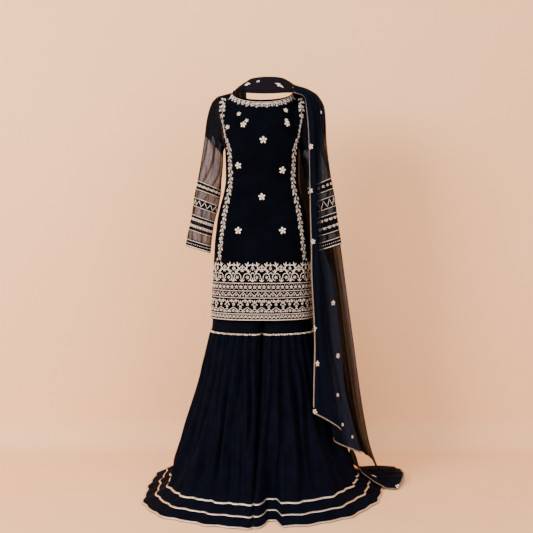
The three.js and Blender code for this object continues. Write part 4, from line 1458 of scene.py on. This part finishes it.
frontGrid, t, v, wave = stretchGrid(frontFall, 190, 61, 3.0, 4.0, 3)
dense = smoothstep(0.92 - t, 0, 0.2)
opened = smoothstep(v, 0.55, 0.9) * smoothstep(t, 0.6, 0.95)
frontCover = 0.22 + pleatLines(t, v) + 0.72 * dense + 0.08 * wave - 0.3 * opened
frontCentre = (190, 300)
frontStrip = edgeStrip(frontGrid[:-3], 4.6, "first")
cutStrip = edgeStrip(frontGrid, 5.5, "last row")
frontEdging = edgingPiece("edgingFront", "edging_front", frontStrip, frontCentre)
cutEdging = edgingPiece("edgingCutEnd", "edging_cut_end", cutStrip, frontCentre)
# Flowers on a stretch: x, height, size in millimetres and turn. Up to 9 it is a bead a fifth as wide.
frontSpots = [
    (178, 1264, 21, 0),
    (176, 1108, 20, 30),
    (185, 920, 21, 10),
    (187, 617, 22, 0),
    (196, 487, 21, 15),
    (188, 328, 21, 0),
    (218, 1399, 13, 0),
    (262, 690, 20, 0),
    (279, 505, 20, 40),
    (277, 364, 14, 10),
    (290, 256, 13, 30),
    (328, 208, 12, 0),
]
dupattaPiece(
    "dupattaFrontFall",
    "dupatta_front_fall",
    frontGrid,
    frontCentre,
    frontCover,
    frontSpots,
    dict(flat=(0.17, 1.45), area=0.2, held="draped", rests_on=["dupatta_neck", "sleeve_left"]),
    frontEdging + cutEdging,
)

backGrid, t, v, wave = stretchGrid(backFall, 190, 61, 3.0, 4.0, 8)
sheer = smoothstep(0.34 - t, 0, 0.26)
hemmed = smoothstep(0.02 - t, 0, 0.02)
backCover = pleatLines(t, v) + 0.92 + 0.14 * wave + 0.5 * hemmed
backCover = backCover - 0.72 * sheer * smoothstep(v, 0.18, 0.3)
backSpots = [
    (345, 519, 20, 10),
    (300, 316, 20, 0),
    (310, 201, 20, 30),
    (340, 374, 7, 0),
    (313, 293, 7, 0),
    (339, 154, 7, 0),
    (376, 119, 8, 0),
]
dupattaPiece(
    "dupattaBackFall",
    "dupatta_back_fall",
    backGrid,
    (150, -80),
    backCover,
    backSpots,
    dict(flat=(0.25, 1.6), area=0.3, held="draped", rests_on=["dupatta_front_fall", "kurti_back"]),
    look="dupattaFallNet",
)

neckGrid, t, v, wave = stretchGrid(neckStretch, 120, 41, 3.0, 3.2, 14)
neckSpots = [(-50.6, 1495, 18, 0), (-14, 1506, 12, 0), (64.5, 1491, 19, 0)]
dupattaPiece(
    "dupattaNeck",
    "dupatta_neck",
    neckGrid,
    (20, 60),
    1.1 + 0.04 * wave,
    neckSpots,
    dict(flat=(0.08, 0.3), held="draped", rests_on=["kurti_front"]),
)

endGrid, t, v, wave = stretchGrid(backEnd, 110, 41, 3.0, 3.2, 19)
endSpots = [(-90, 1390, 20, 0), (-80, 1240, 20, 0), (-96, 1090, 20, 0)]
dupattaPiece(
    "dupattaBackEnd",
    "dupatta_back_end",
    endGrid,
    (-90, -100),
    0.95 + 0.1 * wave,
    endSpots,
    dict(flat=(0.09, 0.55), held="draped", rests_on=["kurti_back"]),
)

tailSheet, t, v, wave = tailGrid()
below = (430, 100, -800)
tailStrip = edgeStrip(tailSheet[:-3], 5.5, "first")
endStrip = edgeStrip(tailSheet, 5.5, "last row")
tailFront = edgingPiece("edgingTailFront", "edging_tail_front", tailStrip, below)
tailEnd = edgingPiece("edgingTailEnd", "edging_tail_end", endStrip, below)
dupattaPiece(
    "dupattaTail",
    "dupatta_tail",
    tailSheet,
    below,
    0.7 + 0.3 * wave,
    [(430, 14, 22, 0), (505, 10, 22, 0)],
    dict(flat=(0.27, 0.2), held="laid", rests_on=["flare_left_front", "flare_left_back"]),
    tailFront + tailEnd,
)
print("dupatta ready", flush=True)

# Studio: paper that curves from the floor up behind the suit, and soft light from the left

studio = {
    "wallAt": 560,
    "curveRadius": 130,
    "paper": ("#fac99b", "#fbcca0"),
    "air": "#fff0e4",
    "airPower": 0.73,
}
# Where a light stands, what it looks at, its width, its power and its colour.
lights = {
    "key": ((-2.6, -2.7, 0.55), (0.1, 0.1, -0.7), 1.3, 194, "#fff2e6"),
    "fill": ((2.8, -3.6, 0.2), (0.1, 0.0, -0.7), 2.6, 91, "#fff5ec"),
    "top": ((0.0, -1.6, 2.6), (0.0, 0.1, -0.6), 2.2, 66, "#fff5ec"),
}


def addBackdrop():
    wallAt, radius = studio["wallAt"], studio["curveRadius"]
    foot = wallAt - radius
    turn = np.linspace(0, np.pi / 2, 16)[1:]
    curve = [(foot + radius * math.sin(a), radius * (1 - math.cos(a))) for a in turn]
    profile = np.array([(-4200, 0), (foot, 0), *curve, (wallAt, 4600)], float)
    x = np.linspace(-5000, 5000, 9)[None]
    y, h = profile[:, :1], profile[:, 1:]
    grid = np.stack([x + 0 * y, y + 0 * x, h + 0 * x], axis=2)
    looks["paper"] = makePaper("studioPaper", studio["paper"])
    paper = addMesh("backdrop", grid, quadsOf(*grid.shape[:2]), "paper")


def addLight(name, place, target, size, power, colour):
    data = bpy.data.lights.new(name, "AREA")
    data.shape = "SQUARE"
    data.size = size
    data.energy = power
    data.color = linearColour(colour)[:3]
    light = bpy.data.objects.new(name, data)
    light.location = place
    light.rotation_euler = (Vector(target) - Vector(place)).to_track_quat("-Z", "Y").to_euler()
    bpy.context.scene.collection.objects.link(light)


addBackdrop()
for lightName, settings in lights.items():
    addLight(lightName, *settings)

world = bpy.data.worlds.new("studio")
world.use_nodes = True
air = world.node_tree.nodes["Background"]
air.inputs["Color"].default_value = linearColour(studio["air"])
air.inputs["Strength"].default_value = studio["airPower"]
bpy.context.scene.world = world

cameraData = bpy.data.cameras.new("camera")
cameraData.sensor_width = 36
cameraData.lens = 54.17
cameraData.shift_y = -0.0872
camera = bpy.data.objects.new("camera", cameraData)
camera.location = (0.017, -3.0, -0.46)
camera.rotation_euler = (math.pi / 2, 0, 0)
bpy.context.scene.collection.objects.link(camera)
bpy.context.scene.camera = camera

print("scene ready", flush=True)
